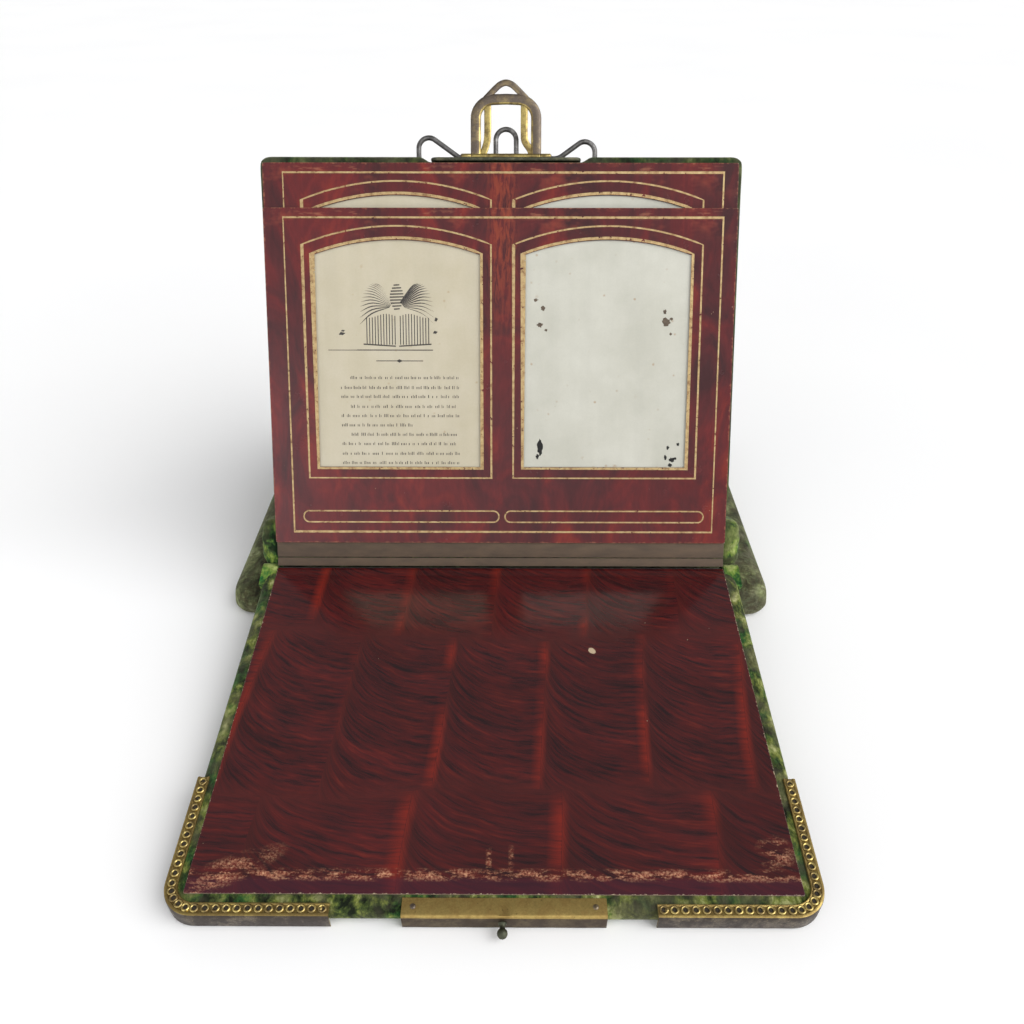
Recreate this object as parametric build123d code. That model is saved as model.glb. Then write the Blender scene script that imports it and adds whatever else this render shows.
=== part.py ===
from build123d import *
import math
import os

os.makedirs("parts", exist_ok=True)

# Upright velvet photograph album: a wide padded base, a front cover dropped
# open on the table, eight card leaves and a back cover leaning on a wire strut.
# All sizes in millimetres.  +Z up, the viewer looks along +Y.

# --- base -------------------------------------------------------------------
BASE_W = 350.0
BASE_D = 242.0
BASE_H = 18.5
BASE_CORNER = 14.0
BASE_EDGE = 6.0           # rounding of the padded top edge
BASE_WRAP = 3.0           # padding thickness on the sides
BASE_BOARD_H = 13.0
BASE_LINING_H = 1.0

# --- covers -----------------------------------------------------------------
COVER_W = 298.0
COVER_L = 222.5
COVER_T = 10.0            # velvet part only
COVER_CORNER = 15.0
COVER_EDGE = 2.0          # rounding of the padded edges
COVER_BOARD_INSET = 4.0
BOARD_T = 5.4
LINING_W = 280.0
LINING_L = 209.0
LINING_T = 1.8
LINING_PROUD = 0.8        # lining stands above the velvet rim
RIM = 9.5                 # velvet rim outside the lining at the free edge

# --- leaves -----------------------------------------------------------------
LEAVES = 8
LEAF_W = 280.0
LEAF_H = 200.7
LEAF_T = 2.6
LEAF_PITCH = 2.9
LEAF_RAISE = 25.9         # leaves 2..8 sit this much higher than leaf 1
LINEN_T = 0.8
LINEN_H = 9.5
FACE_T = 0.8              # printed face card over the photo pocket
PRINT_SHIFT = 1.2         # printed design sits a little off centre
WINDOW_X = 62.7
WINDOW_HALF = 48.9
WINDOW_BOTTOM = 47.5
WINDOW_TOP = 182.4
WINDOW_SPRING = 173.9
SLIP_W = 103.0
SLIP_H = 145.0
SLIP_T = 0.5
SLIP_BOTTOM = 43.2
POCKET_W = 104.6
POCKET_T = 0.9

# --- how the parts stand ----------------------------------------------------
LEAN = 25.8               # leaves lean back from upright, degrees
COVER_SLOPE = 5.8         # front cover slopes down to the table, degrees
HINGE_Y = -110.0          # inner end of the front cover lining
LEAF_FOOT_Y = HINGE_Y + 5.5
LEAF_FOOT_Z = 48.5        # front bottom edge of leaf 1
TABLE_GAP = 0.05
FIT = 0.05                # clearance between pieces that touch

# --- cloth joints between the base, the front cover and the spine -----------
JOINT_INSET = 7.0         # joints stop this far inside the cover's sides
GUTTER_FRONT = 4.9        # behind the inner end of the front cover lining
GUTTER_BACK = 8.0
GUTTER_TOP = 29.0
SPINE_JOINT_FRONT = -78.0
SPINE_JOINT_BACK = -52.0
SPINE_JOINT_T = 0.8

# --- spine ------------------------------------------------------------------
SPINE_BOTTOM = -15.0      # along the leaves, from the foot of leaf 1
SPINE_TOP = 14.0
SPINE_FRONT = 3.2         # depth behind the face of leaf 1
PACKET_BACK = 23.4        # face of the back cover lining
BACK_COVER_TOP = 234.0
BACK_LINING_UP = 4.0      # back lining starts this far above the cover's foot
SPINE_BOARD_T = 13.0
SPINE_BOARD_BACK = 20.0
SPINE_BOARD_HALF = 130.0
SPINE_WRAP_BOTTOM = 4.0
SPINE_WRAP_TOP = 3.0
PACKET_GAP = 0.6          # hinge linen clears its neighbours

# --- brass and steel --------------------------------------------------------
BRASS_T = 0.6
GUARD_STRIP = 5.5
GUARD_SIDE = 69.0
GUARD_FRONT = 76.0
PLATE_W = 91.5
CLASP_X = 4.8
STUD_X = 4.0
STUD_R = 2.4
STEM_R = 1.3
HASP_X = 3.0
HASP_W = 42.0
HASP_L = 36.5
HASP_T = 1.6
HASP_BACK = 31.0          # depth of the hasp pin
PIN_UP = 2.4              # pin height over the back cover edge
PIN_R = 0.9
KNUCKLE_R = 1.7
WIRE_R = 1.3
STRUT_BACK = 34.9         # depth of the strut axis
STRUT_UP = 2.0
STRUT_OPEN = 40.0         # strut stands out from the back cover, degrees

base_front = -BASE_D / 2
back_edge = PACKET_BACK + LINING_PROUD + COVER_T
pin_s = BACK_COVER_TOP + PIN_UP
strut_s = BACK_COVER_TOP + STRUT_UP

slope = math.radians(COVER_SLOPE)
lean = math.radians(LEAN)

# The free edge of the front cover just rests on the table.
cover_near = LINING_L + RIM
cover_bottom = COVER_T + LINING_PROUD
HINGE_Z = (
    TABLE_GAP
    + COVER_EDGE
    + (cover_near - COVER_EDGE) * math.sin(slope)
    + (cover_bottom - COVER_EDGE) * math.cos(slope)
)

# Flat working planes: one for everything on the front cover, one for the
# leaves and back cover (x across, y up the leaf, z towards the viewer).
cover_plane = Plane(
    origin=(0, HINGE_Y, HINGE_Z),
    x_dir=(1, 0, 0),
    z_dir=(0, -math.sin(slope), math.cos(slope)),
)
leaf_plane = Plane(
    origin=(0, LEAF_FOOT_Y, LEAF_FOOT_Z),
    x_dir=(1, 0, 0),
    z_dir=(0, -math.cos(lean), math.sin(lean)),
)


def block(x0, x1, y0, y1, z0, z1):
    """Plain box between two corners."""
    size = Box(x1 - x0, y1 - y0, z1 - z0)
    return Pos((x0 + x1) / 2, (y0 + y1) / 2, (z0 + z1) / 2) * size


def slab(w, y0, y1, z0, z1, r):
    """Board with rounded corners, centred on x."""
    outline = Pos(0, (y0 + y1) / 2, z0) * RectangleRounded(w, y1 - y0, r)
    return extrude(outline, z1 - z0)


def padded_slab(w, y0, y1, z0, z1, r, edge):
    """Rounded board with softened top and bottom edges."""
    body = slab(w, y0, y1, z0, z1, r)
    rims = body.faces().sort_by(Axis.Z)
    return fillet(rims[0].edges() + rims[-1].edges(), edge)


def rod(a, b, r):
    """Round bar between two points."""
    line = Line(a, b)
    start = Plane(origin=a, z_dir=line % 0)
    return sweep(start * Circle(r), path=line)


def flat_head(r, h):
    """Low round head of a nail or rivet, standing on z = 0."""
    return Cylinder(r, h, align=(Align.CENTER, Align.CENTER, Align.MIN))


def save(name, shape, plane=None):
    """Place a part and write it to its own file."""
    shape = plane.location * shape if plane else shape
    shape.label = name
    export_step(shape, f"parts/{name}.step")
    return shape


# --- base -------------------------------------------------------------------
board_w = BASE_W - 2 * BASE_WRAP
board_y = BASE_D / 2 - BASE_WRAP
base_lining = slab(board_w, -board_y, board_y, 0, BASE_LINING_H, BASE_CORNER - BASE_WRAP)
base_board = slab(
    board_w, -board_y, board_y, BASE_LINING_H, BASE_BOARD_H, BASE_CORNER - BASE_WRAP
)
base_outer = slab(BASE_W, base_front, -base_front, 0, BASE_H, BASE_CORNER)
base_outer = fillet(base_outer.faces().sort_by(Axis.Z)[-1].edges(), BASE_EDGE)
base_velvet = base_outer - base_board - base_lining

save("base_lining", base_lining)
save("base_board", base_board)
save("base_velvet", base_velvet)

# Velvet strips that join the base to the front cover and to the spine.
joint_half = COVER_W / 2 - JOINT_INSET
gutter = block(
    -joint_half, joint_half, HINGE_Y + GUTTER_FRONT, HINGE_Y + GUTTER_BACK, BASE_H, GUTTER_TOP
)
spine_joint = block(
    -joint_half,
    joint_half,
    SPINE_JOINT_FRONT,
    SPINE_JOINT_BACK,
    BASE_H,
    BASE_H + SPINE_JOINT_T,
)
save("gutter_cloth", gutter)
save("spine_joint_cloth", spine_joint)

# --- front cover ------------------------------------------------------------
cover_far = COVER_L - cover_near
rim_top = -LINING_PROUD
board_top = -LINING_T
cover_base = rim_top - COVER_T

front_lining = block(-LINING_W / 2, LINING_W / 2, -LINING_L, 0, board_top, 0)
front_board = slab(
    COVER_W - 2 * COVER_BOARD_INSET,
    -cover_near + COVER_BOARD_INSET,
    cover_far - COVER_BOARD_INSET / 2,
    board_top - BOARD_T,
    board_top,
    COVER_CORNER - COVER_BOARD_INSET,
)
front_shell = padded_slab(
    COVER_W, -cover_near, cover_far, cover_base, rim_top, COVER_CORNER, COVER_EDGE
)
save("front_cover_lining", front_lining, cover_plane)
save("front_cover_board", front_board, cover_plane)
save("front_cover_velvet", front_shell - front_board - front_lining, cover_plane)

# Brass corner guards: a strip on the rim with a wall down the edge.
guard_top = rim_top + BRASS_T
guard_low = cover_base + BRASS_T
CUT = 1.0                 # cutting shapes overshoot by this much
wall = slab(
    COVER_W + 2 * (BRASS_T + FIT),
    -cover_near - BRASS_T - FIT,
    cover_far,
    guard_low,
    guard_top,
    COVER_CORNER + BRASS_T,
)
hollow = slab(
    COVER_W + 2 * FIT,
    -cover_near - FIT,
    cover_far + CUT,
    guard_low - CUT,
    rim_top + FIT / 2,
    COVER_CORNER,
)
opening = slab(
    COVER_W - 2 * GUARD_STRIP,
    -cover_near + GUARD_STRIP,
    cover_far + CUT,
    guard_low - CUT,
    guard_top + CUT,
    COVER_CORNER - GUARD_STRIP,
)
ring = wall - hollow - opening
for side, name in ((-1, "left"), (1, "right")):
    outer_x = side * (COVER_W / 2 + BRASS_T + CUT)
    inner_x = side * (COVER_W / 2 - GUARD_FRONT)
    keep = block(
        min(outer_x, inner_x),
        max(outer_x, inner_x),
        -cover_near - BRASS_T - CUT,
        -cover_near + GUARD_SIDE,
        guard_low - CUT,
        guard_top + CUT,
    )
    save(f"corner_guard_{name}", ring & keep, cover_plane)

# Small round-headed nails that hold the guards down.
NAIL_R = 0.9
NAIL_H = 0.5
NAIL_IN = 4.0             # from the ends of a guard
nail_spots = []
for side in (-1, 1):
    edge_x = side * (COVER_W / 2 - GUARD_STRIP / 2)
    edge_y = -cover_near + GUARD_STRIP / 2
    nail_spots.append((edge_x, -cover_near + GUARD_SIDE - NAIL_IN))
    nail_spots.append((side * (COVER_W / 2 - GUARD_FRONT + NAIL_IN), edge_y))
nails = Compound(
    children=[Pos(x, y, guard_top) * flat_head(NAIL_R, NAIL_H) for x, y in nail_spots]
)
save("guard_nails", nails, cover_plane)

# Clasp plate over the middle of the free edge, with its ball stud and rivets.
CLASP_FLANGE = 8.0
clasp_front = -cover_near - BRASS_T - FIT
plate_top = block(
    CLASP_X - PLATE_W / 2,
    CLASP_X + PLATE_W / 2,
    clasp_front,
    -cover_near + CLASP_FLANGE,
    rim_top,
    guard_top,
)
plate_wall = block(
    CLASP_X - PLATE_W / 2,
    CLASP_X + PLATE_W / 2,
    clasp_front,
    -cover_near - FIT,
    guard_low,
    rim_top,
)
save("clasp_plate", plate_top + plate_wall, cover_plane)

STUD_OUT = 4.6
STUD_DROP = 6.0
stem_start = (STUD_X, clasp_front, -STUD_DROP)
stem_end = (STUD_X, clasp_front - STUD_OUT, -STUD_DROP)
stud = rod(stem_start, stem_end, STEM_R) + Pos(*stem_end) * Sphere(STUD_R)
save("clasp_stud", stud, cover_plane)

RIVET_R = 1.3
RIVET_H = 0.6
RIVET_IN = 5.0            # from the ends of a plate
RIVET_BACK = 4.0          # behind the free edge
clasp_rivets = Compound(
    children=[
        Pos(CLASP_X + dx, -cover_near + RIVET_BACK, guard_top) * flat_head(RIVET_R, RIVET_H)
        for dx in (-PLATE_W / 2 + RIVET_IN, PLATE_W / 2 - RIVET_IN)
    ]
)
save("clasp_rivets", clasp_rivets, cover_plane)

# --- back cover and spine ---------------------------------------------------
back_foot = BACK_COVER_TOP - COVER_L
lining_foot = back_foot + BACK_LINING_UP
back_lining = block(
    -LINING_W / 2,
    LINING_W / 2,
    lining_foot,
    lining_foot + LINING_L,
    -PACKET_BACK - LINING_T,
    -PACKET_BACK,
)
back_board = slab(
    COVER_W - 2 * COVER_BOARD_INSET,
    back_foot + COVER_BOARD_INSET / 2,
    BACK_COVER_TOP - COVER_BOARD_INSET,
    -PACKET_BACK - LINING_T - BOARD_T,
    -PACKET_BACK - LINING_T,
    COVER_CORNER - COVER_BOARD_INSET,
)
back_shell = padded_slab(
    COVER_W,
    back_foot,
    BACK_COVER_TOP,
    -back_edge,
    -PACKET_BACK - LINING_PROUD,
    COVER_CORNER,
    COVER_EDGE,
)
save("back_cover_lining", back_lining, leaf_plane)
save("back_cover_board", back_board, leaf_plane)
save("back_cover_velvet", back_shell - back_board - back_lining, leaf_plane)

SPINE_INSET = 0.5
SPINE_SEAM = 0.2          # step between the spine and the back cover lining
FOOT_GAP = 0.3
spine_half = COVER_W / 2 - SPINE_INSET
spine_board = block(
    -SPINE_BOARD_HALF,
    SPINE_BOARD_HALF,
    SPINE_BOTTOM + SPINE_WRAP_BOTTOM,
    SPINE_TOP - SPINE_WRAP_TOP,
    -SPINE_BOARD_BACK,
    -SPINE_BOARD_BACK + SPINE_BOARD_T,
)
spine_front_part = block(
    -spine_half, spine_half, SPINE_BOTTOM, SPINE_TOP, -PACKET_BACK + SPINE_SEAM, -SPINE_FRONT
)
spine_back_part = block(
    -spine_half,
    spine_half,
    SPINE_BOTTOM,
    back_foot - FOOT_GAP,
    -back_edge,
    -PACKET_BACK + SPINE_SEAM,
)
save("spine_board", spine_board, leaf_plane)
save("spine_velvet", spine_front_part + spine_back_part - spine_board, leaf_plane)

# The linen block that leaves 2 and up are hinged to stops just below their pivots.
PIVOT_DROP = 0.2          # pivots sit this far below each leaf's linen
pivot_s = LEAF_RAISE - LINEN_H - PIVOT_DROP
hinge_linen = block(
    -LEAF_W / 2,
    LEAF_W / 2,
    SPINE_TOP,
    pivot_s - PACKET_GAP,
    -PACKET_BACK + PACKET_GAP,
    -SPINE_FRONT - SPINE_SEAM,
)
save("hinge_linen", hinge_linen, leaf_plane)


# --- leaves -----------------------------------------------------------------
def window(center_x, z0, z1):
    """Arched window prism."""
    left = center_x - WINDOW_HALF
    right = center_x + WINDOW_HALF
    sides = Polyline(
        (left, WINDOW_SPRING),
        (left, WINDOW_BOTTOM),
        (right, WINDOW_BOTTOM),
        (right, WINDOW_SPRING),
    )
    arch = ThreePointArc(
        (right, WINDOW_SPRING), (center_x, WINDOW_TOP), (left, WINDOW_SPRING)
    )
    return extrude(Pos(0, 0, z0) * make_face(sides.edges() + arch.edges()), z1 - z0)


SLIP_LEAVES = 2           # only the first two leaves hold slips
POCKET_DROP = 0.8         # pocket reaches a little below the slip
centres = (PRINT_SHIFT - WINDOW_X, PRINT_SHIFT + WINDOW_X)
leaf_mid = -LEAF_T / 2
for k in range(1, LEAVES + 1):
    raise_s = 0.0 if k == 1 else LEAF_RAISE
    front = -(k - 1) * LEAF_PITCH
    at = Pos(0, raise_s, front)
    card = block(-LEAF_W / 2, LEAF_W / 2, 0, LEAF_H, -LEAF_T, 0)
    for cx in centres:
        card -= window(cx, -FACE_T, CUT)
        if k <= SLIP_LEAVES:
            card -= block(
                cx - POCKET_W / 2,
                cx + POCKET_W / 2,
                SLIP_BOTTOM - POCKET_DROP,
                LEAF_H + CUT,
                -FACE_T - POCKET_T,
                -FACE_T,
            )
    save(f"leaf_{k}_card", at * card, leaf_plane)
    linen = block(
        -LEAF_W / 2,
        LEAF_W / 2,
        -LINEN_H,
        0,
        leaf_mid - LINEN_T / 2,
        leaf_mid + LINEN_T / 2,
    )
    save(f"leaf_{k}_linen", at * linen, leaf_plane)
    if k <= SLIP_LEAVES:
        slip_back = -FACE_T - (POCKET_T + SLIP_T) / 2
        for cx, name in zip(centres, ("left", "right")):
            slip = block(
                cx - SLIP_W / 2,
                cx + SLIP_W / 2,
                SLIP_BOTTOM,
                SLIP_BOTTOM + SLIP_H,
                slip_back,
                slip_back + SLIP_T,
            )
            save(f"leaf_{k}_slip_{name}", at * slip, leaf_plane)

# The tab that carries leaf 1 and rides up as the front cover closes.
TAB_DROP = 1.4            # clears the leaf's linen when the leaf lies forward
tab = block(
    -LEAF_W / 2,
    LEAF_W / 2,
    SPINE_BOTTOM,
    -LINEN_H - TAB_DROP,
    leaf_mid - LINEN_T / 2,
    leaf_mid + LINEN_T / 2,
)
save("leaf_1_tab", tab, leaf_plane)

# --- hasp -------------------------------------------------------------------
HASP_PLATE_W = 92.0
HASP_PLATE_RETURN = 9.0
HASP_PLATE_FRONT = 25.5   # depth of the plate's front edge
HASP_RIVET_DEPTH = 28.5
plate_half = HASP_PLATE_W / 2
edge_top = BACK_COVER_TOP + BRASS_T
strap = block(
    HASP_X - plate_half,
    HASP_X + plate_half,
    BACK_COVER_TOP,
    edge_top,
    -back_edge - BRASS_T,
    -HASP_PLATE_FRONT,
)
strap += block(
    HASP_X - plate_half,
    HASP_X + plate_half,
    BACK_COVER_TOP - HASP_PLATE_RETURN,
    BACK_COVER_TOP,
    -back_edge - BRASS_T,
    -back_edge,
)
KNUCKLE_L = 6.0
KNUCKLE_GAP = 0.4
PIN_CLEAR = 0.3
knuckle_out = HASP_W / 2 + KNUCKLE_GAP + KNUCKLE_L / 2
for side in (-1, 1):
    x0 = HASP_X + side * knuckle_out - KNUCKLE_L / 2
    x1 = HASP_X + side * knuckle_out + KNUCKLE_L / 2
    barrel = rod((x0, pin_s, -HASP_BACK), (x1, pin_s, -HASP_BACK), KNUCKLE_R)
    web = block(x0, x1, edge_top, pin_s, -HASP_BACK - KNUCKLE_R, -HASP_BACK + KNUCKLE_R)
    bore = rod((x0 - CUT, pin_s, -HASP_BACK), (x1 + CUT, pin_s, -HASP_BACK), PIN_R + PIN_CLEAR)
    strap += barrel + web - bore
save("hasp_plate", strap, leaf_plane)

hasp_rivets = Compound(
    children=[
        Pos(HASP_X + dx, edge_top, -HASP_RIVET_DEPTH)
        * Rot(-90, 0, 0)
        * flat_head(RIVET_R, RIVET_H)
        for dx in (-plate_half + RIVET_IN, plate_half - RIVET_IN)
    ]
)
save("hasp_rivets", hasp_rivets, leaf_plane)

# Frame: a rounded arch with two inner bars and a finger loop at its tip.
SHOULDER = 20.0           # straight sides end here
ARCH_BAND = 4.6
FOOT_BAND = 2.4
BAR_W = 2.4
BAR_IN = 9.4              # inner faces of the bars, either side of the middle
BAR_TOP = 31.5
BAR_FLARE_UP = 8.0        # the bars splay out below this height
BAR_FLARE_OUT = 4.0
BAR_FOOT = 1.0
LOOP_BASE = 33.0
LOOP_BASE_HALF = 12.0
LOOP_TIP = 43.4
LOOP_TIP_HALF = 3.4
EYE_BASE = 35.0
EYE_BASE_HALF = 8.0
EYE_TIP = 41.6
EYE_TIP_HALF = 3.3
half = HASP_W / 2


def arch_face(w, top, low):
    """Upright band end: straight sides and a half-oval top."""
    sides = Polyline((-w, SHOULDER), (-w, low), (w, low), (w, SHOULDER))
    crown = ThreePointArc((w, SHOULDER), (0, top), (-w, SHOULDER))
    return make_face(sides.edges() + crown.edges())


def tapered_face(base_half, base, tip_half, tip):
    """Flat shape that narrows upwards."""
    return make_face(
        Polyline((-base_half, base), (base_half, base), (tip_half, tip), (-tip_half, tip), close=True)
    )


def bar_face(side):
    """One inner bar, splayed outwards at its foot."""
    inner = side * BAR_IN
    outer = side * (BAR_IN + BAR_W)
    splay = side * BAR_FLARE_OUT
    return make_face(
        Polyline(
            (inner, BAR_TOP),
            (inner, BAR_FLARE_UP),
            (inner + splay, BAR_FOOT),
            (outer + splay, BAR_FOOT),
            (outer, BAR_FLARE_UP),
            (outer, BAR_TOP),
            close=True,
        )
    )


flat = arch_face(half, HASP_L, 0) - arch_face(half - ARCH_BAND, HASP_L - ARCH_BAND, FOOT_BAND)
for side in (-1, 1):
    flat += bar_face(side)
flat += tapered_face(LOOP_BASE_HALF, LOOP_BASE, LOOP_TIP_HALF, LOOP_TIP)
flat -= tapered_face(EYE_BASE_HALF, EYE_BASE, EYE_TIP_HALF, EYE_TIP)
frame = extrude(Pos(0, 0, -HASP_T / 2) * flat, HASP_T)
sleeve = rod((-half, 0, 0), (half, 0, 0), KNUCKLE_R)
bore = rod((-half - CUT, 0, 0), (half + CUT, 0, 0), PIN_R + FIT)
frame = frame + sleeve - bore
frame = Pos(HASP_X, pin_s, -HASP_BACK) * frame
save("hasp_frame", frame, leaf_plane)

PIN_PAST = 1.2            # pin ends stand out of the knuckles
pin_half = half + KNUCKLE_L + PIN_PAST
pin = rod((HASP_X - pin_half, pin_s, -HASP_BACK), (HASP_X + pin_half, pin_s, -HASP_BACK), PIN_R)
save("hasp_pin", pin, leaf_plane)

# --- strut ------------------------------------------------------------------
# One bent steel wire: two legs behind, an ear over each, a finger arch between.
LEG_L = 232.8
LEFT_LEG = -51.0
RIGHT_LEG = 58.0
LEFT_EAR_TOP = 12.2
RIGHT_EAR_TOP = 10.0
EAR_R = 6.3
EAR_SLOPE = 35.0          # the ear runs down to the straight part, degrees
EAR_FOOT_R = 8.0
ARCH_UP = 17.2
ARCH_HALF = 6.3
ARCH_FOOT_R = 2.4
LEG_START = 0.9           # legs are cut square just below the ears
FOOT_CUT = 1.4            # and just short of the foot bar
open_angle = math.radians(STRUT_OPEN)
foot_y = -LEG_L * math.cos(open_angle)
foot_z = -LEG_L * math.sin(open_angle)
at_strut = Pos(0, strut_s, -STRUT_BACK)


def turn(x, y, side, r, start, end):
    """Arc about (x, y): 0 degrees is on the side away from `side`, 90 is up."""
    points = []
    for degrees in (start, (start + end) / 2, end):
        angle = math.radians(degrees)
        points.append((x - side * r * math.cos(angle), y + r * math.sin(angle), 0))
    return ThreePointArc(*points)


def ear(leg_x, side, top):
    """Wire from the top of a leg over its ear, then down and level."""
    angle = math.radians(EAR_SLOPE)
    over = turn(leg_x + side * EAR_R, top - EAR_R, side, EAR_R, 0, 90 + EAR_SLOPE)
    crest = over @ 1
    drop = crest.Y - EAR_FOOT_R * (1 - math.cos(angle))
    low_x = crest.X + side * drop / math.tan(angle)
    level_x = low_x + side * EAR_FOOT_R * math.sin(angle)
    under = turn(level_x, EAR_FOOT_R, side, EAR_FOOT_R, EAR_SLOPE - 90, -90)
    return [
        Line((leg_x, 0, 0), over @ 0),
        over,
        Line(crest, under @ 0),
        under,
    ]


def arch_side(side):
    """Wire from the straight part up to the spring of the finger arch."""
    foot_x = HASP_X - side * (ARCH_HALF + ARCH_FOOT_R)
    bend = turn(foot_x, ARCH_FOOT_R, side, ARCH_FOOT_R, -90, -180)
    spring = (HASP_X - side * ARCH_HALF, ARCH_UP - ARCH_HALF, 0)
    return bend, Line(bend @ 1, spring)


left_ear = ear(LEFT_LEG, 1, LEFT_EAR_TOP)
right_ear = ear(RIGHT_LEG, -1, RIGHT_EAR_TOP)
left_bend, left_rise = arch_side(1)
right_bend, right_rise = arch_side(-1)
top_path = Wire(
    [
        *left_ear,
        Line(left_ear[-1] @ 1, left_bend @ 0),
        left_bend,
        left_rise,
        ThreePointArc(left_rise @ 1, (HASP_X, ARCH_UP, 0), right_rise @ 1),
        right_rise,
        right_bend,
        Line(right_bend @ 0, right_ear[-1] @ 1),
        *reversed(right_ear),
    ]
)
top_start = Plane(origin=top_path @ 0, z_dir=top_path % 0)
top_wire = sweep(top_start * Circle(WIRE_R), path=top_path)
save("strut_top_wire", at_strut * top_wire, leaf_plane)

for x, name in ((LEFT_LEG, "left"), (RIGHT_LEG, "right")):
    upper = (x, -LEG_START * math.cos(open_angle), -LEG_START * math.sin(open_angle))
    lower = (
        x,
        foot_y + FOOT_CUT * math.cos(open_angle),
        foot_z + FOOT_CUT * math.sin(open_angle),
    )
    leg = rod(upper, lower, WIRE_R) - top_wire
    save(f"strut_leg_{name}", at_strut * leg, leaf_plane)

left_foot = (LEFT_LEG, foot_y, foot_z)
right_foot = (RIGHT_LEG, foot_y, foot_z)
foot = rod(left_foot, right_foot, WIRE_R)
for corner in (left_foot, right_foot):
    foot += Pos(*corner) * Sphere(WIRE_R + FIT / 5)
save("strut_foot", at_strut * foot, leaf_plane)

# Two small arched staples, behind the hasp, hold the wire down on its plate.
STAPLE_W = 3.0
STAPLE_OUT = 17.0         # either side of the middle of the hasp
STAPLE_CLEAR = 0.25
STAPLE_FRONT = 0.5        # wall between the wire and the hasp's sleeve
STAPLE_WALL = 1.0
hole_r = WIRE_R + STAPLE_CLEAR
staples = []
for side in (-1, 1):
    x = HASP_X + side * STAPLE_OUT
    eye = block(
        x - STAPLE_W / 2,
        x + STAPLE_W / 2,
        edge_top,
        strut_s + hole_r + STAPLE_WALL,
        -STRUT_BACK - hole_r - STAPLE_WALL,
        -STRUT_BACK + hole_r + STAPLE_FRONT,
    )
    hole = rod((x - STAPLE_W, strut_s, -STRUT_BACK), (x + STAPLE_W, strut_s, -STRUT_BACK), hole_r)
    staples.append(eye - hole)
save("strut_staples", Compound(children=staples), leaf_plane)
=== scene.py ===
import math
import random
from functools import partialmethod

import bmesh
import bpy
from mathutils import Matrix, Vector


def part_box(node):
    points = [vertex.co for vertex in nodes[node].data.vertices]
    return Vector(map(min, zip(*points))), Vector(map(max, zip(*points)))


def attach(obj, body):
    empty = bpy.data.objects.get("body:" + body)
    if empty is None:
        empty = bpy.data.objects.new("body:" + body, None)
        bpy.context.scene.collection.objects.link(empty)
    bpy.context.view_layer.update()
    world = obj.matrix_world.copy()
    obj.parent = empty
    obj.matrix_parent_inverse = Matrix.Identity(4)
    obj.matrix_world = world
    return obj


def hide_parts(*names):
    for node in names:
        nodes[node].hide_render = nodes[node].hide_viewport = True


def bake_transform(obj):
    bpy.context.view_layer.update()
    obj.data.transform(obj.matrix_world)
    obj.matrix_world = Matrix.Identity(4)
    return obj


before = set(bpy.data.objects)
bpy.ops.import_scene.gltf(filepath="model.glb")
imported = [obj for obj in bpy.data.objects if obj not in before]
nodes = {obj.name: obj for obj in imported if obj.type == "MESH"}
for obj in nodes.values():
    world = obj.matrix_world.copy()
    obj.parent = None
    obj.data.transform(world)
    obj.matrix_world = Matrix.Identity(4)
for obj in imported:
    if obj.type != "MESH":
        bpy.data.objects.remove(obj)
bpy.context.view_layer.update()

MM = 0.001
LEAVES = 8

# ---------------------------------------------------------------- places


def face_plane(node, toward):
    """Local frame on a flat node's largest face: x right, y up the face, z out of it."""
    toward = Vector(toward).normalized()
    mesh = nodes[node].data
    facing = [p for p in mesh.polygons if p.normal.dot(toward) > 0.8]
    normal = max(facing, key=lambda p: p.area).normal.copy()
    level = max(v.co.dot(normal) for v in mesh.vertices)
    x = Vector((1, 0, 0))
    y = normal.cross(x).normalized()
    on_face = [v.co for v in mesh.vertices if abs(v.co.dot(normal) - level) < 5e-5]
    low = min(p.dot(y) for p in on_face)
    plane = Matrix((x, y, normal)).transposed().to_4x4()
    plane.translation = normal * level + y * low
    return plane


def local_box(node, plane):
    """Low and high corner of a CAD node, in a local frame."""
    inverse = plane.inverted()
    points = [inverse @ v.co for v in nodes[node].data.vertices]
    low = Vector(min(p[i] for p in points) for i in range(3))
    high = Vector(max(p[i] for p in points) for i in range(3))
    return low, high


LEAF_FACING = (0, -0.9, 0.43)
leaf_planes = [face_plane(f"leaf_{k}_card", LEAF_FACING) for k in range(1, LEAVES + 1)]
page = leaf_planes[0]
panel = face_plane("front_cover_lining", (0, 0, 1))
WORLD = Matrix.Identity(4)
LEAF_W = local_box("leaf_1_card", page)[1].x * 2
LEAF_H = local_box("leaf_1_card", page)[1].y
LEAF_T = -local_box("leaf_1_card", page)[0].z

# ---------------------------------------------------------------- shader tools


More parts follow.
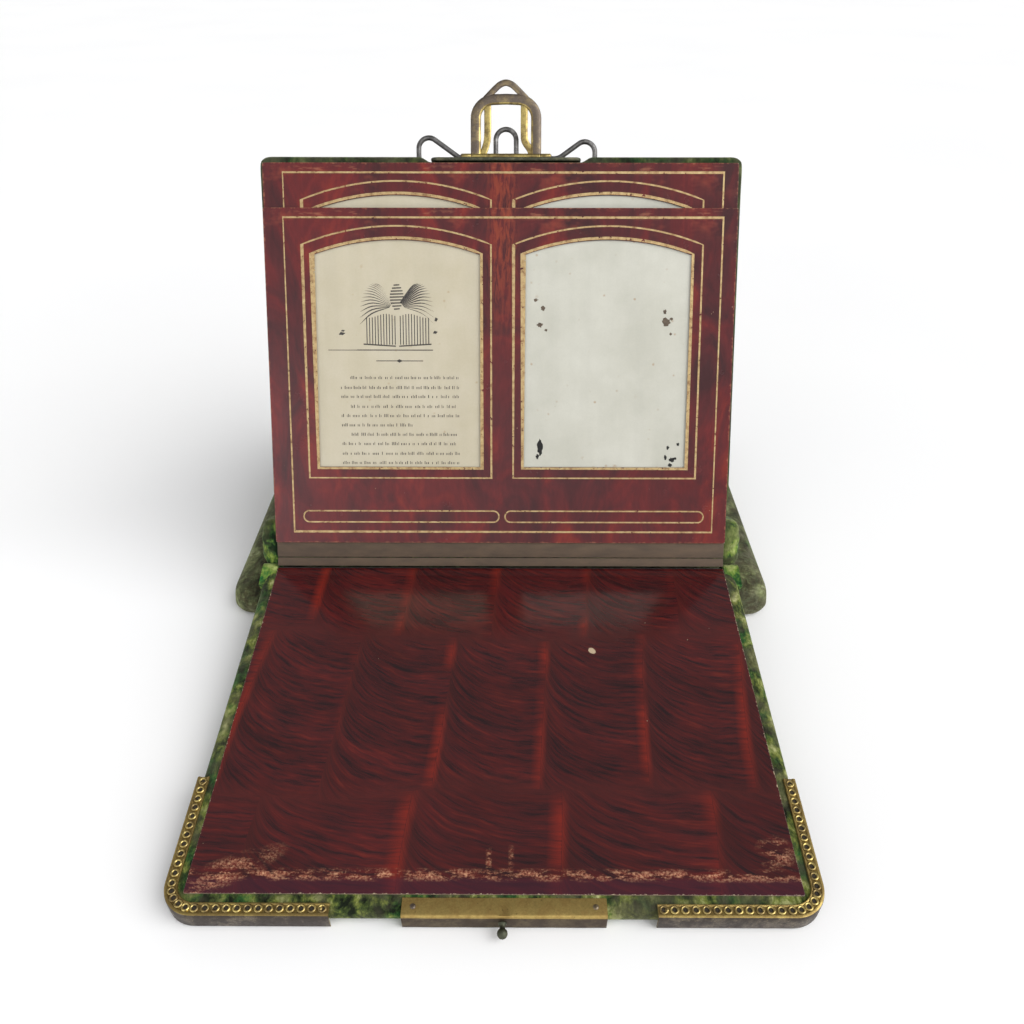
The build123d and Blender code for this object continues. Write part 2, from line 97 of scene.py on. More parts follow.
class Shader:
    """A node material, written one call per node."""

    def __init__(self, name, rough=0.5, metal=0.0):
        self.mat = bpy.data.materials.new(name)
        self.mat.use_nodes = True
        self.tree = self.mat.node_tree
        self.tree.nodes.clear()
        self.bsdf = self.node("BsdfPrincipled", {"Roughness": rough, "Metallic": metal})
        self.node("OutputMaterial", {0: self.bsdf.outputs[0]})

    def node(self, kind, inputs=(), **props):
        made = self.tree.nodes.new("ShaderNode" + kind)
        for key, value in props.items():
            setattr(made, key, value)
        for key, value in dict(inputs).items():
            self.feed(made.inputs[key], value)
        return made

    def feed(self, socket, value):
        """Link a socket, or set its value; a colour may leave out its alpha."""
        if isinstance(value, bpy.types.NodeSocket):
            self.tree.links.new(value, socket)
        elif isinstance(value, tuple) and len(value) == 3 and socket.type == "RGBA":
            socket.default_value = (*value, 1)
        else:
            socket.default_value = value

    def set(self, name, value):
        self.feed(self.bsdf.inputs[name], value)

    def coords(self, plane=None):
        """Object coordinates in metres, turned into a local frame if one is given."""
        source = self.node("TexCoord").outputs["Object"]
        if plane is None:
            return source
        inverse = plane.inverted()
        turn = {"Location": inverse.translation, "Rotation": inverse.to_euler(), "Vector": source}
        return self.node("Mapping", turn).outputs[0]

    def stretch(self, vector, scale, shift=(0, 0, 0)):
        return self.node("Mapping", {"Scale": scale, "Location": shift, "Vector": vector}).outputs[0]

    def noise(self, vector, scale, detail=3.0, rough=0.5, twist=0.0):
        inputs = {"Vector": vector, "Scale": scale, "Detail": detail, "Roughness": rough, "Distortion": twist}
        return self.node("TexNoise", inputs).outputs["Fac"]

    def cells(self, vector, scale, feature="F1"):
        return self.node("TexVoronoi", {"Vector": vector, "Scale": scale}, feature=feature).outputs["Distance"]

    def ramp(self, fac, stops):
        """Colours, or plain numbers for greys, at places along a scale."""
        made = self.node("ValToRGB", {0: fac})
        ramp = made.color_ramp
        while len(ramp.elements) < len(stops):
            ramp.elements.new(0.5)
        for element, (place, colour) in zip(ramp.elements, stops):
            element.position = place
            if not isinstance(colour, tuple):
                colour = (colour, colour, colour)
            element.color = (*colour, 1)
        return made.outputs[0]

    def mix(self, fac, a, b, blend="MIX"):
        return self.node("Mix", {0: fac, 6: a, 7: b}, data_type="RGBA", blend_type=blend).outputs[2]

    def shade(self, amount, colour, fac, *stops):
        """Darken a colour by a ramp."""
        return self.mix(amount, colour, self.ramp(fac, stops), "MULTIPLY")

    def math(self, operation, a, b=0.0):
        return self.node("Math", {0: a, 1: b}, operation=operation).outputs[0]

    add = partialmethod(math, "ADD")
    sub = partialmethod(math, "SUBTRACT")
    mul = partialmethod(math, "MULTIPLY")
    div = partialmethod(math, "DIVIDE")
    most = partialmethod(math, "MAXIMUM")
    least = partialmethod(math, "MINIMUM")
    size = partialmethod(math, "ABSOLUTE")
    floor = partialmethod(math, "FLOOR")
    fract = partialmethod(math, "FRACT")

    def span(self, value, low, high):
        """0 at low, 1 at high, held outside."""
        inputs = {"Value": value, "From Min": low, "From Max": high}
        return self.node("MapRange", inputs, clamp=True).outputs[0]

    def axes(self, vector):
        return self.node("SeparateXYZ", {0: vector}).outputs[:3]

    def vector(self, x, y, z=0.0):
        return self.node("CombineXYZ", {0: x, 1: y, 2: z}).outputs[0]

    def bump(self, height, strength, distance, under=None):
        """Relief over an earlier relief; the last one made is the surface's."""
        made = self.node("Bump", {"Height": height, "Strength": strength, "Distance": distance})
        if under:
            self.feed(made.inputs["Normal"], under)
        self.set("Normal", made.outputs[0])
        return made.outputs[0]

    def near(self, x, y, cx, cy, radius):
        """1 close to a point, falling to 0 at the radius."""
        dx = self.sub(x, cx)
        dy = self.sub(y, cy)
        square = self.add(self.mul(dx, dx), self.mul(dy, dy))
        return self.span(self.math("SQRT", square), radius, radius * 0.3)


# ---------------------------------------------------------------- materials


def velvet(name, palette, printed=0.0, grain=110, calm=0.0):
    """Crushed, mottled plush: palette runs from its hollows to its crests; its pale crest tone and its grey tone are
    painted sheen.
    """
    s = Shader(name, rough=0.9)
    p = s.coords()
    warp = s.noise(p, grain * 0.4, 3, 0.6, 0.4)
    patch = s.noise(s.stretch(p, (1, 0.7, 1)), grain, 5, 0.66, 0.25)
    crush = s.noise(s.stretch(p, (1, 0.5, 1)), 420, 3, 0.65, 0.6)
    deep, mid, bright, painted_pale_sheen, painted_grey_sheen, lush = palette
    # The palest tone, on the crests, is a painted sheen.
    tones = [(0.41 - calm, deep), (0.48 - calm * 0.2, mid), (0.55 + calm * 0.6, bright), (0.64 + calm * 1.8, painted_pale_sheen)]
    colour = s.ramp(patch, tones)
    grass = s.ramp(patch, [(0.38, deep), (0.50, lush), (0.66, bright)])
    meadow = s.span(s.noise(s.stretch(p, (1, 1, 1), (3, 1, 0)), grain * 0.35, 3, 0.6), 0.49, 0.58)
    colour = s.mix(s.mul(meadow, 0.8), colour, grass)
    # Grey patches over the greens: painted sheen of the pile.
    colour = s.mix(s.mul(s.span(warp, 0.46, 0.60), 0.7), colour, painted_grey_sheen)
    if printed:
        leaf = s.cells(s.stretch(p, (1, 0.5, 1)), 60, "DISTANCE_TO_EDGE")
        vein = s.noise(s.stretch(p, (0.6, 1.6, 1)), 160, 2, 0.5, 2.5)
        figure = s.mul(s.span(vein, 0.47, 0.52), s.span(leaf, 0.02, 0.08))
        colour = s.mix(s.mul(figure, printed), colour, (0.055, 0.038, 0.022))
    colour = s.shade(0.6, colour, crush, (0.3, 0.25), (0.7, 1.0))
    s.set("Base Color", colour)
    s.set("Sheen Weight", 0.25)
    s.set("Sheen Roughness", 0.4)
    s.set("Sheen Tint", (0.75, 0.8, 0.5, 1))
    s.set("Specular IOR Level", 0.12)
    tuft = s.bump(patch, 0.8, 1.8 * MM)
    pile = s.bump(crush, 0.7, 0.5 * MM, tuft)
    s.bump(s.noise(p, 1500, 2, 0.6), 0.5, 0.15 * MM, pile)
    return s.mat


def combed_paper(name):
    """Glossy paper printed like combed mahogany graining, worn at its edges."""
    s = Shader(name, rough=0.22)
    p = s.coords()
    x, y, _ = s.axes(p)
    drift = s.noise(p, 9, 2, 0.5)
    wander = s.mul(s.sub(drift, 0.5), 0.03)
    # Three rows of strokes; the row at the free edge has wider columns.
    row_pitch, row_start, column_pitch, wider, lean = 0.1, 0.048, 0.054, 0.0195, 0.07
    rows = s.div(s.add(s.add(y, wander), row_start), row_pitch)
    row = s.floor(rows)
    free_edge = s.math("LESS_THAN", row, 0.5)
    far_edge = s.math("GREATER_THAN", row, 1.5)
    pitch = s.add(column_pitch, s.mul(free_edge, wider))
    start = s.sub(-column_pitch / 2, s.mul(free_edge, -wider / 3))
    across = s.sub(x, s.mul(s.sub(y, 0.13), lean))
    across = s.add(across, s.mul(wander, 0.35))
    across = s.sub(across, s.sub(start, column_pitch * 3))
    across = s.sub(across, s.mul(far_edge, 0.021))
    cell = s.div(across, pitch)
    column = s.floor(cell)
    part = s.fract(cell)
    inner = s.sub(1.0, part)
    arc = s.math("SQRT", s.sub(1.0, s.mul(inner, inner)))
    wobble = s.noise(p, 30, 3, 0.5)
    run = s.add(y, s.mul(arc, 0.034))
    run = s.add(run, s.mul(wobble, 0.008))
    lanes = s.vector(run, s.mul(part, 0.006), s.mul(column, 0.017))
    strands = s.noise(lanes, 520, 3, 0.55)
    fine = s.noise(s.stretch(lanes, (1, 1.5, 1)), 1300, 2, 0.6)
    broad = s.noise(lanes, 70, 2, 0.5)
    colour = s.ramp(
        strands,
        [
            (0.30, (0.022, 0.006, 0.008)), (0.44, (0.058, 0.009, 0.010)), (0.60, (0.092, 0.010, 0.010)),
            (0.78, (0.150, 0.018, 0.012)),
        ],
    )
    # The strokes soften where one row of combing runs into the next.
    turn = s.fract(rows)
    seam = s.mul(s.span(turn, 0.0, 0.10), s.span(turn, 1.0, 0.90))
    column_seam = s.span(part, 0.0, 0.14)
    calm = s.sub(1.0, s.mul(seam, column_seam))
    colour = s.mix(s.mul(calm, 0.75), colour, (0.072, 0.011, 0.010))
    colour = s.shade(s.mul(seam, 0.65), colour, broad, (0.36, (0.55, 0.62, 0.66)), (0.62, (1.0, 1.0, 1.0)))
    colour = s.shade(0.3, colour, fine, (0.35, 0.5), (0.65, 1.0))
    blot = s.noise(s.stretch(p, (1, 0.6, 1)), 17, 3, 0.6)
    colour = s.shade(0.6, colour, blot, (0.36, (0.60, 0.68, 0.72)), (0.62, (1, 1, 1)))
    glow = s.span(s.noise(s.stretch(p, (1, 1, 1), (5, 2, 0)), 15, 2, 0.5), 0.42, 0.56)
    left_side = s.mul(s.span(part, 0.90, 0.985), s.span(part, 1.0, 0.995))
    right_side = s.span(part, 0.05, 0.0)
    streak = s.most(left_side, right_side)
    streak = s.mul(s.mul(streak, glow), s.ramp(strands, [(0.3, 0.5), (0.6, 1.0)]))
    streak = s.mul(streak, s.add(s.mul(seam, 0.8), 0.2))
    colour = s.mix(s.mul(streak, 0.7), colour, (0.22, 0.017, 0.008))
    # Wear: scuffed strip along the free edge, pale chips at the very edges.
    half = LEAF_W / 2
    edge_x = s.sub(half, s.size(x))
    ragged = s.noise(s.stretch(p, (0.35, 1, 1)), 240, 4, 0.72)
    grit = s.noise(p, 900, 3, 0.7)
    strip = s.mul(s.span(y, 0.0125, 0.0095), s.span(y, 0.0055, 0.0085))
    strip = s.mul(strip, s.span(ragged, 0.46, 0.58))
    low_left = s.near(s.sub(x, s.mul(y, 1.6)), y, -half, 0.008, 0.017)
    low_left = s.mul(low_left, s.span(ragged, 0.44, 0.62))
    low_right = s.mul(s.near(x, y, half - 0.009, 0.020, 0.010), s.span(ragged, 0.48, 0.60))
    stem = s.sub(0.0052, s.size(s.sub(x, 0.0026)))
    stem = s.mul(s.span(s.size(stem), 0.0016, 0.0002), s.span(y, 0.024, 0.018))
    stem = s.mul(s.mul(stem, s.span(y, 0.007, 0.009)), s.span(ragged, 0.42, 0.58))
    worn = s.most(s.most(strip, low_left), s.most(low_right, stem))
    worn = s.mul(worn, s.ramp(grit, [(0.36, 0.15), (0.58, 1.0)]))
    band = s.mul(s.span(y, 0.0085, 0.0065), s.span(y, -0.001, 0.0005))
    colour = s.mix(s.mul(band, 0.6), colour, (0.050, 0.009, 0.020))
    bared = s.ramp(grit, [(0.45, (0.40, 0.105, 0.050)), (0.62, (0.62, 0.34, 0.19))])
    colour = s.mix(s.mul(worn, 0.9), colour, bared)
    jag = s.mul(s.sub(s.noise(p, 420, 4, 0.75), 0.5), -0.0040)
    rim = s.least(edge_x, y)
    lip = s.span(s.add(rim, jag), 0.0001, -0.0003)
    chip = s.near(x, s.add(y, s.mul(x, 0.35)), 0.0533, 0.1606, 0.0030)
    chip = s.span(s.add(chip, s.mul(ragged, 0.7)), 0.80, 0.86)
    specks = s.span(s.cells(p, 105), 0.030, 0.018)
    specks = s.mul(specks, s.span(s.noise(p, 60, 2), 0.57, 0.60))
    bare = s.most(s.most(lip, chip), specks)
    colour = s.mix(bare, colour, (0.46, 0.36, 0.23))
    s.set("Base Color", colour)
    rough = s.ramp(s.noise(p, 60, 4, 0.65), [(0.3, 0.10), (0.75, 0.19)])
    rough = s.mix(s.most(worn, bare), rough, (0.75, 0.75, 0.75))
    s.set("Roughness", rough)
    s.set("Specular IOR Level", 0.55)
    waves = s.bump(s.noise(p, 16, 2, 0.5), 0.25, 1.2 * MM)
    relief = s.sub(s.mul(strands, 0.25), s.most(worn, bare))
    s.bump(relief, 0.3, 0.12 * MM, waves)
    return s.mat


def marbled_card(name):
    """Leaf face: glossy mottled mahogany print."""
    s = Shader(name, rough=0.25)
    p = s.coords()
    x, y, _ = s.axes(p)
    feather = s.noise(s.stretch(p, (1.0, 0.45, 1)), 42, 4, 0.58, 1.2)
    fine = s.noise(s.stretch(p, (1.4, 0.3, 1)), 330, 3, 0.65, 0.6)
    cloud = s.noise(p, 20, 3, 0.6, 0.6)
    colour = s.ramp(
        feather,
        [
            (0.32, (0.045, 0.009, 0.011)), (0.46, (0.080, 0.011, 0.013)), (0.58, (0.120, 0.012, 0.013)),
            (0.74, (0.210, 0.022, 0.013)),
        ],
    )
    colour = s.shade(0.3, colour, fine, (0.32, (0.45, 0.42, 0.46)), (0.66, (1, 1, 1)))
    colour = s.shade(0.4, colour, cloud, (0.36, (0.60, 0.58, 0.64)), (0.60, (1, 1, 1)))
    # A brighter flare stands between the two windows.
    flare_x = s.size(s.sub(x, 0.0012))
    flare = s.mul(s.span(flare_x, 0.011, 0.003), s.span(y, 0.118, 0.175))
    flare = s.mul(flare, s.span(fine, 0.40, 0.58))
    colour = s.mix(s.mul(flare, 0.7), colour, (0.24, 0.040, 0.016))
    # Handling has lifted the print to orange in blotches under the top edge.
    blush = s.span(s.noise(s.stretch(p, (0.6, 1, 1), (2, 7, 0)), 40, 4, 0.66), 0.53, 0.66)
    blush = s.mul(blush, s.span(y, LEAF_H - 0.020, LEAF_H - 0.009))
    colour = s.mix(s.mul(blush, 0.32), colour, (0.40, 0.085, 0.040))
    edge_x = s.sub(LEAF_W / 2, s.size(x))
    edge_y = s.least(s.sub(LEAF_H, y), y)
    edge = s.least(edge_x, edge_y)
    jag = s.mul(s.sub(s.noise(p, 320, 4, 0.75), 0.5), -0.0055)
    rub = s.span(s.add(edge, jag), 0.0005, -0.0004)
    fray = s.noise(s.stretch(p, (0.3, 1, 1)), 130, 4, 0.7)
    top = s.mul(s.span(y, LEAF_H - 0.0075, LEAF_H - 0.004), s.span(y, LEAF_H - 0.001, LEAF_H - 0.003))
    top = s.mul(top, s.span(fray, 0.53, 0.60))
    rub = s.most(rub, s.mul(top, 0.7))
    colour = s.mix(s.mul(rub, 0.6), colour, (0.34, 0.13, 0.07))
    specks = s.mul(s.span(s.cells(p, 130), 0.04, 0.02), s.span(s.noise(p, 40, 2), 0.56, 0.60))
    colour = s.mix(specks, colour, (0.45, 0.28, 0.18))
    s.set("Base Color", colour)
    s.set("Roughness", s.ramp(s.noise(p, 70, 4, 0.6), [(0.3, 0.16), (0.75, 0.30)]))
    s.set("Specular IOR Level", 0.33)
    waves = s.bump(s.noise(p, 14, 2, 0.5), 0.25, 1.2 * MM)
    s.bump(fine, 0.12, 0.1 * MM, waves)
    return s.mat


def pulp(name, colour, dark, scale=500, rough=0.85):
    """Raw card, paper or cloth with layered fibres."""
    s = Shader(name, rough=rough)
    p = s.coords()
    fibre = s.noise(s.stretch(p, (0.3, 1, 1)), scale, 4, 0.65)
    stain = s.noise(p, 45, 3, 0.6)
    base = s.ramp(fibre, [(0.3, dark), (0.7, colour)])
    s.set("Base Color", s.shade(0.35, base, stain, (0.35, 0.45), (0.65, 1.0)))
    s.bump(fibre, 0.4, 0.15 * MM)
    return s.mat


def linen_cloth(name, colour, dark):
    """Fine plain weave, dulled with age."""
    s = Shader(name, rough=0.8)
    p = s.coords()
    x, y, _ = s.axes(p)
    warp = s.math("SINE", s.mul(x, 2 * math.pi / (0.55 * MM)))
    weft = s.math("SINE", s.mul(y, 2 * math.pi / (0.55 * MM)))
    weave = s.mul(warp, weft)
    cloud = s.noise(s.stretch(p, (0.35, 1, 1)), 150, 4, 0.65)
    colour = s.ramp(cloud, [(0.3, dark), (0.7, colour)])
    colour = s.mix(0.25, colour, s.ramp(s.span(weave, -1, 1), [(0.0, 0.55), (1.0, 1.0)]), "MULTIPLY")
    s.set("Base Color", colour)
    s.set("Sheen Weight", 0.15)
    s.bump(weave, 0.3, 0.08 * MM, s.bump(cloud, 0.3, 0.4 * MM))
    return s.mat


def foxed_paper(name, plane, tone, spots, wash):
    """Aged paper slip: yellowed, foxed, faintly streaked down its length."""
    s = Shader(name, rough=0.72)
    p = s.coords(plane)
    x, y, _ = s.axes(p)
    down = s.noise(s.stretch(p, (1, 0.12, 1)), 90, 4, 0.6)
    cloud = s.noise(p, 28, 4, 0.6)
    fibre = s.noise(p, 900, 3, 0.6)
    colour = s.mix(s.span(cloud, 0.35, 0.7), tone, wash)
    colour = s.shade(0.14, colour, down, (0.3, 0.55), (0.7, 1.0))
    colour = s.shade(0.10, colour, fibre, (0.3, 0.6), (0.7, 1.0))
    small = s.span(s.add(s.cells(p, 150), s.mul(fibre, 0.10)), 0.20, 0.11)
    small = s.mul(small, s.span(s.noise(p, 52, 2), 0.50, 0.60))
    large = s.span(s.add(s.cells(p, 62), s.mul(fibre, 0.14)), 0.17, 0.09)
    large = s.mul(large, s.span(s.noise(s.stretch(p, (1, 1, 1), (3, 1, 0)), 33, 2), 0.52, 0.58))
    fox = s.most(small, s.mul(large, 0.8))
    colour = s.mix(s.mul(fox, spots), colour, (0.30, 0.17, 0.075))
    s.set("Base Color", colour)
    s.bump(fibre, 0.15, 0.1 * MM, s.bump(down, 0.15, 0.5 * MM))
    return s.mat


def aged_brass(name, gold, brown, dark=0.5, stipple=0.0, rough=0.4):
    """Stamped brass, tarnished in the hollows and rubbed on the crests."""
    s = Shader(name, rough=rough, metal=1.0)
    p = s.coords()
    cloud = s.noise(p, 150, 4, 0.65)
    fine = s.noise(p, 1100, 3, 0.65)
    tarnish = s.span(cloud, 0.36 + dark * 0.25, 0.52 + dark * 0.25)
    colour = s.mix(tarnish, brown, gold)
    colour = s.shade(0.45, colour, fine, (0.3, 0.45), (0.7, 1.0))
    pit = s.span(s.cells(p, 300), 0.12, 0.05)
    colour = s.mix(s.mul(pit, 0.5), colour, (0.05, 0.04, 0.025))
    height = fine
    if stipple:
        dots = s.cells(p, 950)
        glint = s.mul(s.span(dots, 0.30, 0.12), s.span(cloud, 0.42, 0.58))
        colour = s.mix(s.mul(glint, 0.7), colour, (0.36, 0.29, 0.17))
        height = s.add(fine, s.mul(dots, stipple))
    s.set("Base Color", colour)
    s.set("Roughness", s.ramp(cloud, [(0.3, rough + 0.15), (0.7, rough - 0.05)]))
    s.bump(height, 0.35, 0.12 * MM)
    return s.mat


def drawn_steel(name):
    """Dull grey wire with small dark pits and drawing marks."""
    s = Shader(name, rough=0.42, metal=1.0)
    p = s.coords()
    cloud = s.noise(p, 200, 4, 0.65)
    fine = s.noise(p, 1600, 3, 0.6)
    colour = s.ramp(cloud, [(0.3, (0.07, 0.066, 0.063)), (0.55, (0.18, 0.176, 0.172)), (0.75, (0.32, 0.31, 0.30))])
    colour = s.shade(0.4, colour, fine, (0.3, 0.5), (0.7, 1.0))
    s.set("Base Color", colour)
    s.set("Roughness", s.ramp(cloud, [(0.3, 0.55), (0.7, 0.36)]))
    s.bump(fine, 0.3, 0.08 * MM)
    return s.mat


def printed_gold(name):
    """Bronze-powder line, rubbed thin in places."""
    s = Shader(name, rough=0.42, metal=0.75)
    p = s.coords()
    wear = s.noise(p, 260, 4, 0.7)
    golds = [(0.30, (0.22, 0.12, 0.060)), (0.50, (0.44, 0.31, 0.150)), (0.75, (0.56, 0.44, 0.23))]
    s.set("Base Color", s.ramp(wear, golds))
    s.set("Roughness", s.ramp(wear, [(0.3, 0.6), (0.7, 0.38)]))
    gap = s.span(s.noise(s.stretch(p, (1, 1, 1), (2, 5, 0)), 420, 3, 0.7), 0.34, 0.40)
    s.set("Alpha", gap)
    return s.mat


def ink(name):
    """Faded printing ink."""
    s = Shader(name, rough=0.8)
    p = s.coords()
    fade = s.noise(p, 900, 3, 0.7)
    s.set("Base Color", s.ramp(fade, [(0.35, (0.020, 0.018, 0.017)), (0.7, (0.085, 0.075, 0.066))]))
    s.set("Alpha", s.span(fade, 0.20, 0.34))
    return s.mat


# ---------------------------------------------------------------- mesh tools


def stand(name, data):
    """New object in the scene."""
    made = bpy.data.objects.new(name, data)
    bpy.context.scene.collection.objects.link(made)
    return made


def make(name, mesh, plane, *materials):
    """New mesh object in a local frame."""
    made = stand(name, mesh)
    made.matrix_world = plane
    for material in materials:
        if mesh.materials.find(material.name) < 0:
            mesh.materials.append(material)
    return made


def dress(node, material):
    """Give a CAD node that stays visible its material."""
    nodes[node].data.materials.clear()
    nodes[node].data.materials.append(material)


def fit(piece, body, slot, *replaced):
    """Carry a piece on a body, in place of CAD nodes; slot is not used."""
    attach(piece, body)
    if replaced:
        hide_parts(*replaced)


def smooth(obj, angle=40):
    """Smooth shading with hard edges kept above an angle."""
    mesh = obj.data
    mesh.polygons.foreach_set("use_smooth", [True] * len(mesh.polygons))
    bm = bmesh.new()
    bm.from_mesh(mesh)
    limit = math.radians(angle)
    for edge in bm.edges:
        if len(edge.link_faces) == 2 and edge.calc_face_angle(0) > limit:
            edge.smooth = False
    bm.to_mesh(mesh)
    bm.free()
    return obj


def evaluated(obj, name):
    """Mesh of an object after its curve or modifiers are worked out; the object goes."""
    bpy.context.view_layer.update()
    graph = bpy.context.evaluated_depsgraph_get()
    mesh = bpy.data.meshes.new_from_object(obj.evaluated_get(graph))
    mesh.name = name
    bpy.data.objects.remove(obj)
    return mesh


def mesh_of(name, verts, faces, *materials):
    mesh = bpy.data.meshes.new(name)
    mesh.from_pydata(verts, [], faces)
    mesh.update()
    for material in materials:
        mesh.materials.append(material)
    return mesh


def mesh_from(bm, name, *materials):
    mesh = bpy.data.meshes.new(name)
    bm.to_mesh(mesh)
    bm.free()
    for material in materials:
        mesh.materials.append(material)
    return mesh


def point_outwards(mesh):
    """Turn every face of a closed mesh outwards."""
    bm = bmesh.new()
    bm.from_mesh(mesh)
    bmesh.ops.recalc_face_normals(bm, faces=bm.faces)
    bm.to_mesh(mesh)
    bm.free()


def turns(count):
    """Cosine and sine of even steps round a circle."""
    angles = [2 * math.pi * k / count for k in range(count)]
    return [(math.cos(a), math.sin(a)) for a in angles]


def flat_plate(name, loops, low, high, bevel=0.0):
    """Plate between two heights, outlined by loops (the first outside, the rest holes)."""
    curve = bpy.data.curves.new(name, "CURVE")
    curve.dimensions = "2D"
    curve.fill_mode = "BOTH"
    curve.extrude = (high - low) / 2
    for loop in loops:
        spline = curve.splines.new("POLY")
        spline.points.add(len(loop) - 1)
        for point, (x, y) in zip(spline.points, loop):
            point.co = (x, y, 0, 1)
        spline.use_cyclic_u = True
    mesh = evaluated(stand(name, curve), name)
    mesh.transform(Matrix.Translation((0, 0, (low + high) / 2)))
    bm = bmesh.new()
    bm.from_mesh(mesh)
    bmesh.ops.remove_doubles(bm, verts=bm.verts, dist=1e-6)
    if bevel:
        rims = [e for e in bm.edges if len(e.link_faces) == 2 and e.calc_face_angle(0) > 0.9]
        bmesh.ops.bevel(bm, geom=rims, offset=bevel, segments=2, profile=0.5, affect="EDGES")
    bmesh.ops.recalc_face_normals(bm, faces=bm.faces)
    bm.to_mesh(mesh)
    bm.free()
    return mesh


def joined(name, meshes):
    """One mesh from several, keeping their materials."""
    whole = bmesh.new()
    slots = []
    for mesh in meshes:
        start = len(whole.faces)
        whole.from_mesh(mesh)
        whole.faces.ensure_lookup_table()
        for material in mesh.materials:
            if material not in slots:
                slots.append(material)
        for face in whole.faces[start:]:
            if mesh.materials:
                used = mesh.materials[min(face.material_index, len(mesh.materials) - 1)]
                face.material_index = slots.index(used)
    return mesh_from(whole, name, *slots)


def paint(mesh, face_material, edge_material=None):
    """Face material on the broad sides, edge material on the rims."""
    mesh.materials.clear()
    mesh.materials.append(face_material)
    if edge_material:
        mesh.materials.append(edge_material)
        for polygon in mesh.polygons:
            polygon.material_index = 0 if abs(polygon.normal.z) > 0.6 else 1
    return mesh


def rounded_loop(x0, x1, y0, y1, radii, steps=8):
    """Rectangle outline with its own radius at each corner, anticlockwise from low left."""
    corners = [(x0, y0, 180), (x1, y0, 270), (x1, y1, 0), (x0, y1, 90)]
    loop = []
    for (cx, cy, start), r in zip(corners, radii):
        if r <= 0:
            loop.append((cx, cy))
            continue
        ox = cx + r if cx == x0 else cx - r
        oy = cy + r if cy == y0 else cy - r
        for i in range(steps + 1):
            a = math.radians(start + 90 * i / steps)
            loop.append((ox + r * math.cos(a), oy + r * math.sin(a)))
    return loop


def ribbon(name, path, width, height):
    """Flat line of even width along a closed 2-D path."""
    count = len(path)
    verts = []
    for i in range(count):
        before, here, after = (Vector(path[k % count]) for k in (i - 1, i, i + 1))
        along = (after - before).normalized()
        side = Vector((-along.y, along.x))
        into = (here - before).normalized()
        scale = 1.0 / max(0.5, abs(side.dot(Vector((-into.y, into.x)))))
        for s in (0.5, -0.5):
            edge = here + side * width * s * scale
            verts.append((edge.x, edge.y, height))
    faces = []
    for i in range(count):
        j = (i + 1) % count
        faces.append((2 * i, 2 * i + 1, 2 * j + 1, 2 * j))
    return mesh_of(name, verts, faces, GOLD_LINE)


def tube(name, path, radius):
    """Round wire through a closed ring of 3-D points."""
    curve = bpy.data.curves.new(name, "CURVE")
    curve.dimensions = "3D"
    curve.bevel_depth = radius
    curve.bevel_resolution = 4
    spline = curve.splines.new("POLY")
    spline.points.add(len(path) - 1)
    for point, co in zip(spline.points, path):
        point.co = (*co, 1)
    spline.use_cyclic_u = True
    return evaluated(stand(name, curve), name)


def soft_curve(points, steps=8):
    """Catmull-Rom points through the given ones."""
    points = [Vector(p) for p in points]
    ends = [points[0] * 2 - points[1], *points, points[-1] * 2 - points[-2]]
    out = []
    for i in range(1, len(ends) - 2):
        a, b, c, d = ends[i - 1 : i + 3]
        for k in range(steps):
            t = k / steps
            out.append(
                0.5 * ((2 * b) + (c - a) * t + (2 * a - 5 * b + 4 * c - d) * t * t + (3 * b - a - 3 * c + d) * t**3)
            )
    out.append(points[-1])
    return out


def sweep_profile(name, path, profile, *materials):
    """Skin a closed profile (out, up) along a flat 2-D path; out is to the right of travel."""
    verts, faces = [], []
    count = len(path)
    for i in range(count):
        before = Vector(path[max(i - 1, 0)])
        after = Vector(path[min(i + 1, count - 1)])
        along = (after - before).normalized()
        out = Vector((along.y, -along.x))
        here = Vector(path[i])
        for o, up in profile:
            spot = here + out * o
            verts.append((spot.x, spot.y, up))
    n = len(profile)
    for i in range(count - 1):
        for k in range(n):
            m = (k + 1) % n
            faces.append((i * n + k, i * n + m, (i + 1) * n + m, (i + 1) * n + k))
    faces.append(tuple(range(n)))
    faces.append(tuple(reversed(range((count - 1) * n, count * n))))
    return mesh_of(name, verts, faces, *materials)


def second_material(mesh, path, sections, chosen):
    """Second material on chosen faces of a swept profile, all along it."""
    for polygon in mesh.polygons:
        if polygon.index < (len(path) - 1) * sections and polygon.index % sections in chosen:
            polygon.material_index = 1


def dome(x, y, z, r, up, *materials, rings=4, around=14):
    """Low round head, such as a nail or rivet."""
    bm = bmesh.new()
    previous = None
    for i in range(rings + 1):
        a = math.pi / 2 * i / rings
        rad, h = r * math.cos(a), up * math.sin(a)
        if i == rings:
            tip = bm.verts.new((x, y, z + h))
            for k in range(around):
                bm.faces.new((previous[k], previous[(k + 1) % around], tip))
            break
        circle = [bm.verts.new((x + rad * c, y + rad * s, z + h)) for c, s in turns(around)]
        if previous:
            for k in range(around):
                m = (k + 1) % around
                bm.faces.new((previous[k], previous[m], circle[m], circle[k]))
        previous = circle
    return mesh_from(bm, "head", *materials)


def torus(x, y, z, r, wire, material, around=16, ring=8):
    """Ring lying flat."""
    verts, faces = [], []
    for i in range(around):
        a = 2 * math.pi * i / around
        for k in range(ring):
            b = 2 * math.pi * k / ring
            rad = r + wire * math.cos(b)
            verts.append((x + rad * math.cos(a), y + rad * math.sin(a), z + wire * math.sin(b)))
    for i in range(around):
        for k in range(ring):
            j, m = (i + 1) % around, (k + 1) % ring
            faces.append((i * ring + k, j * ring + k, j * ring + m, i * ring + m))
    return mesh_of("ring", verts, faces, material)


PUFF = {
    "use_pressure": True, "uniform_pressure_force": 4.0, "quality": 4, "tension_stiffness": 25,
    "compression_stiffness": 25, "bending_stiffness": 2.0,
}
PUFF_FRAMES = 20


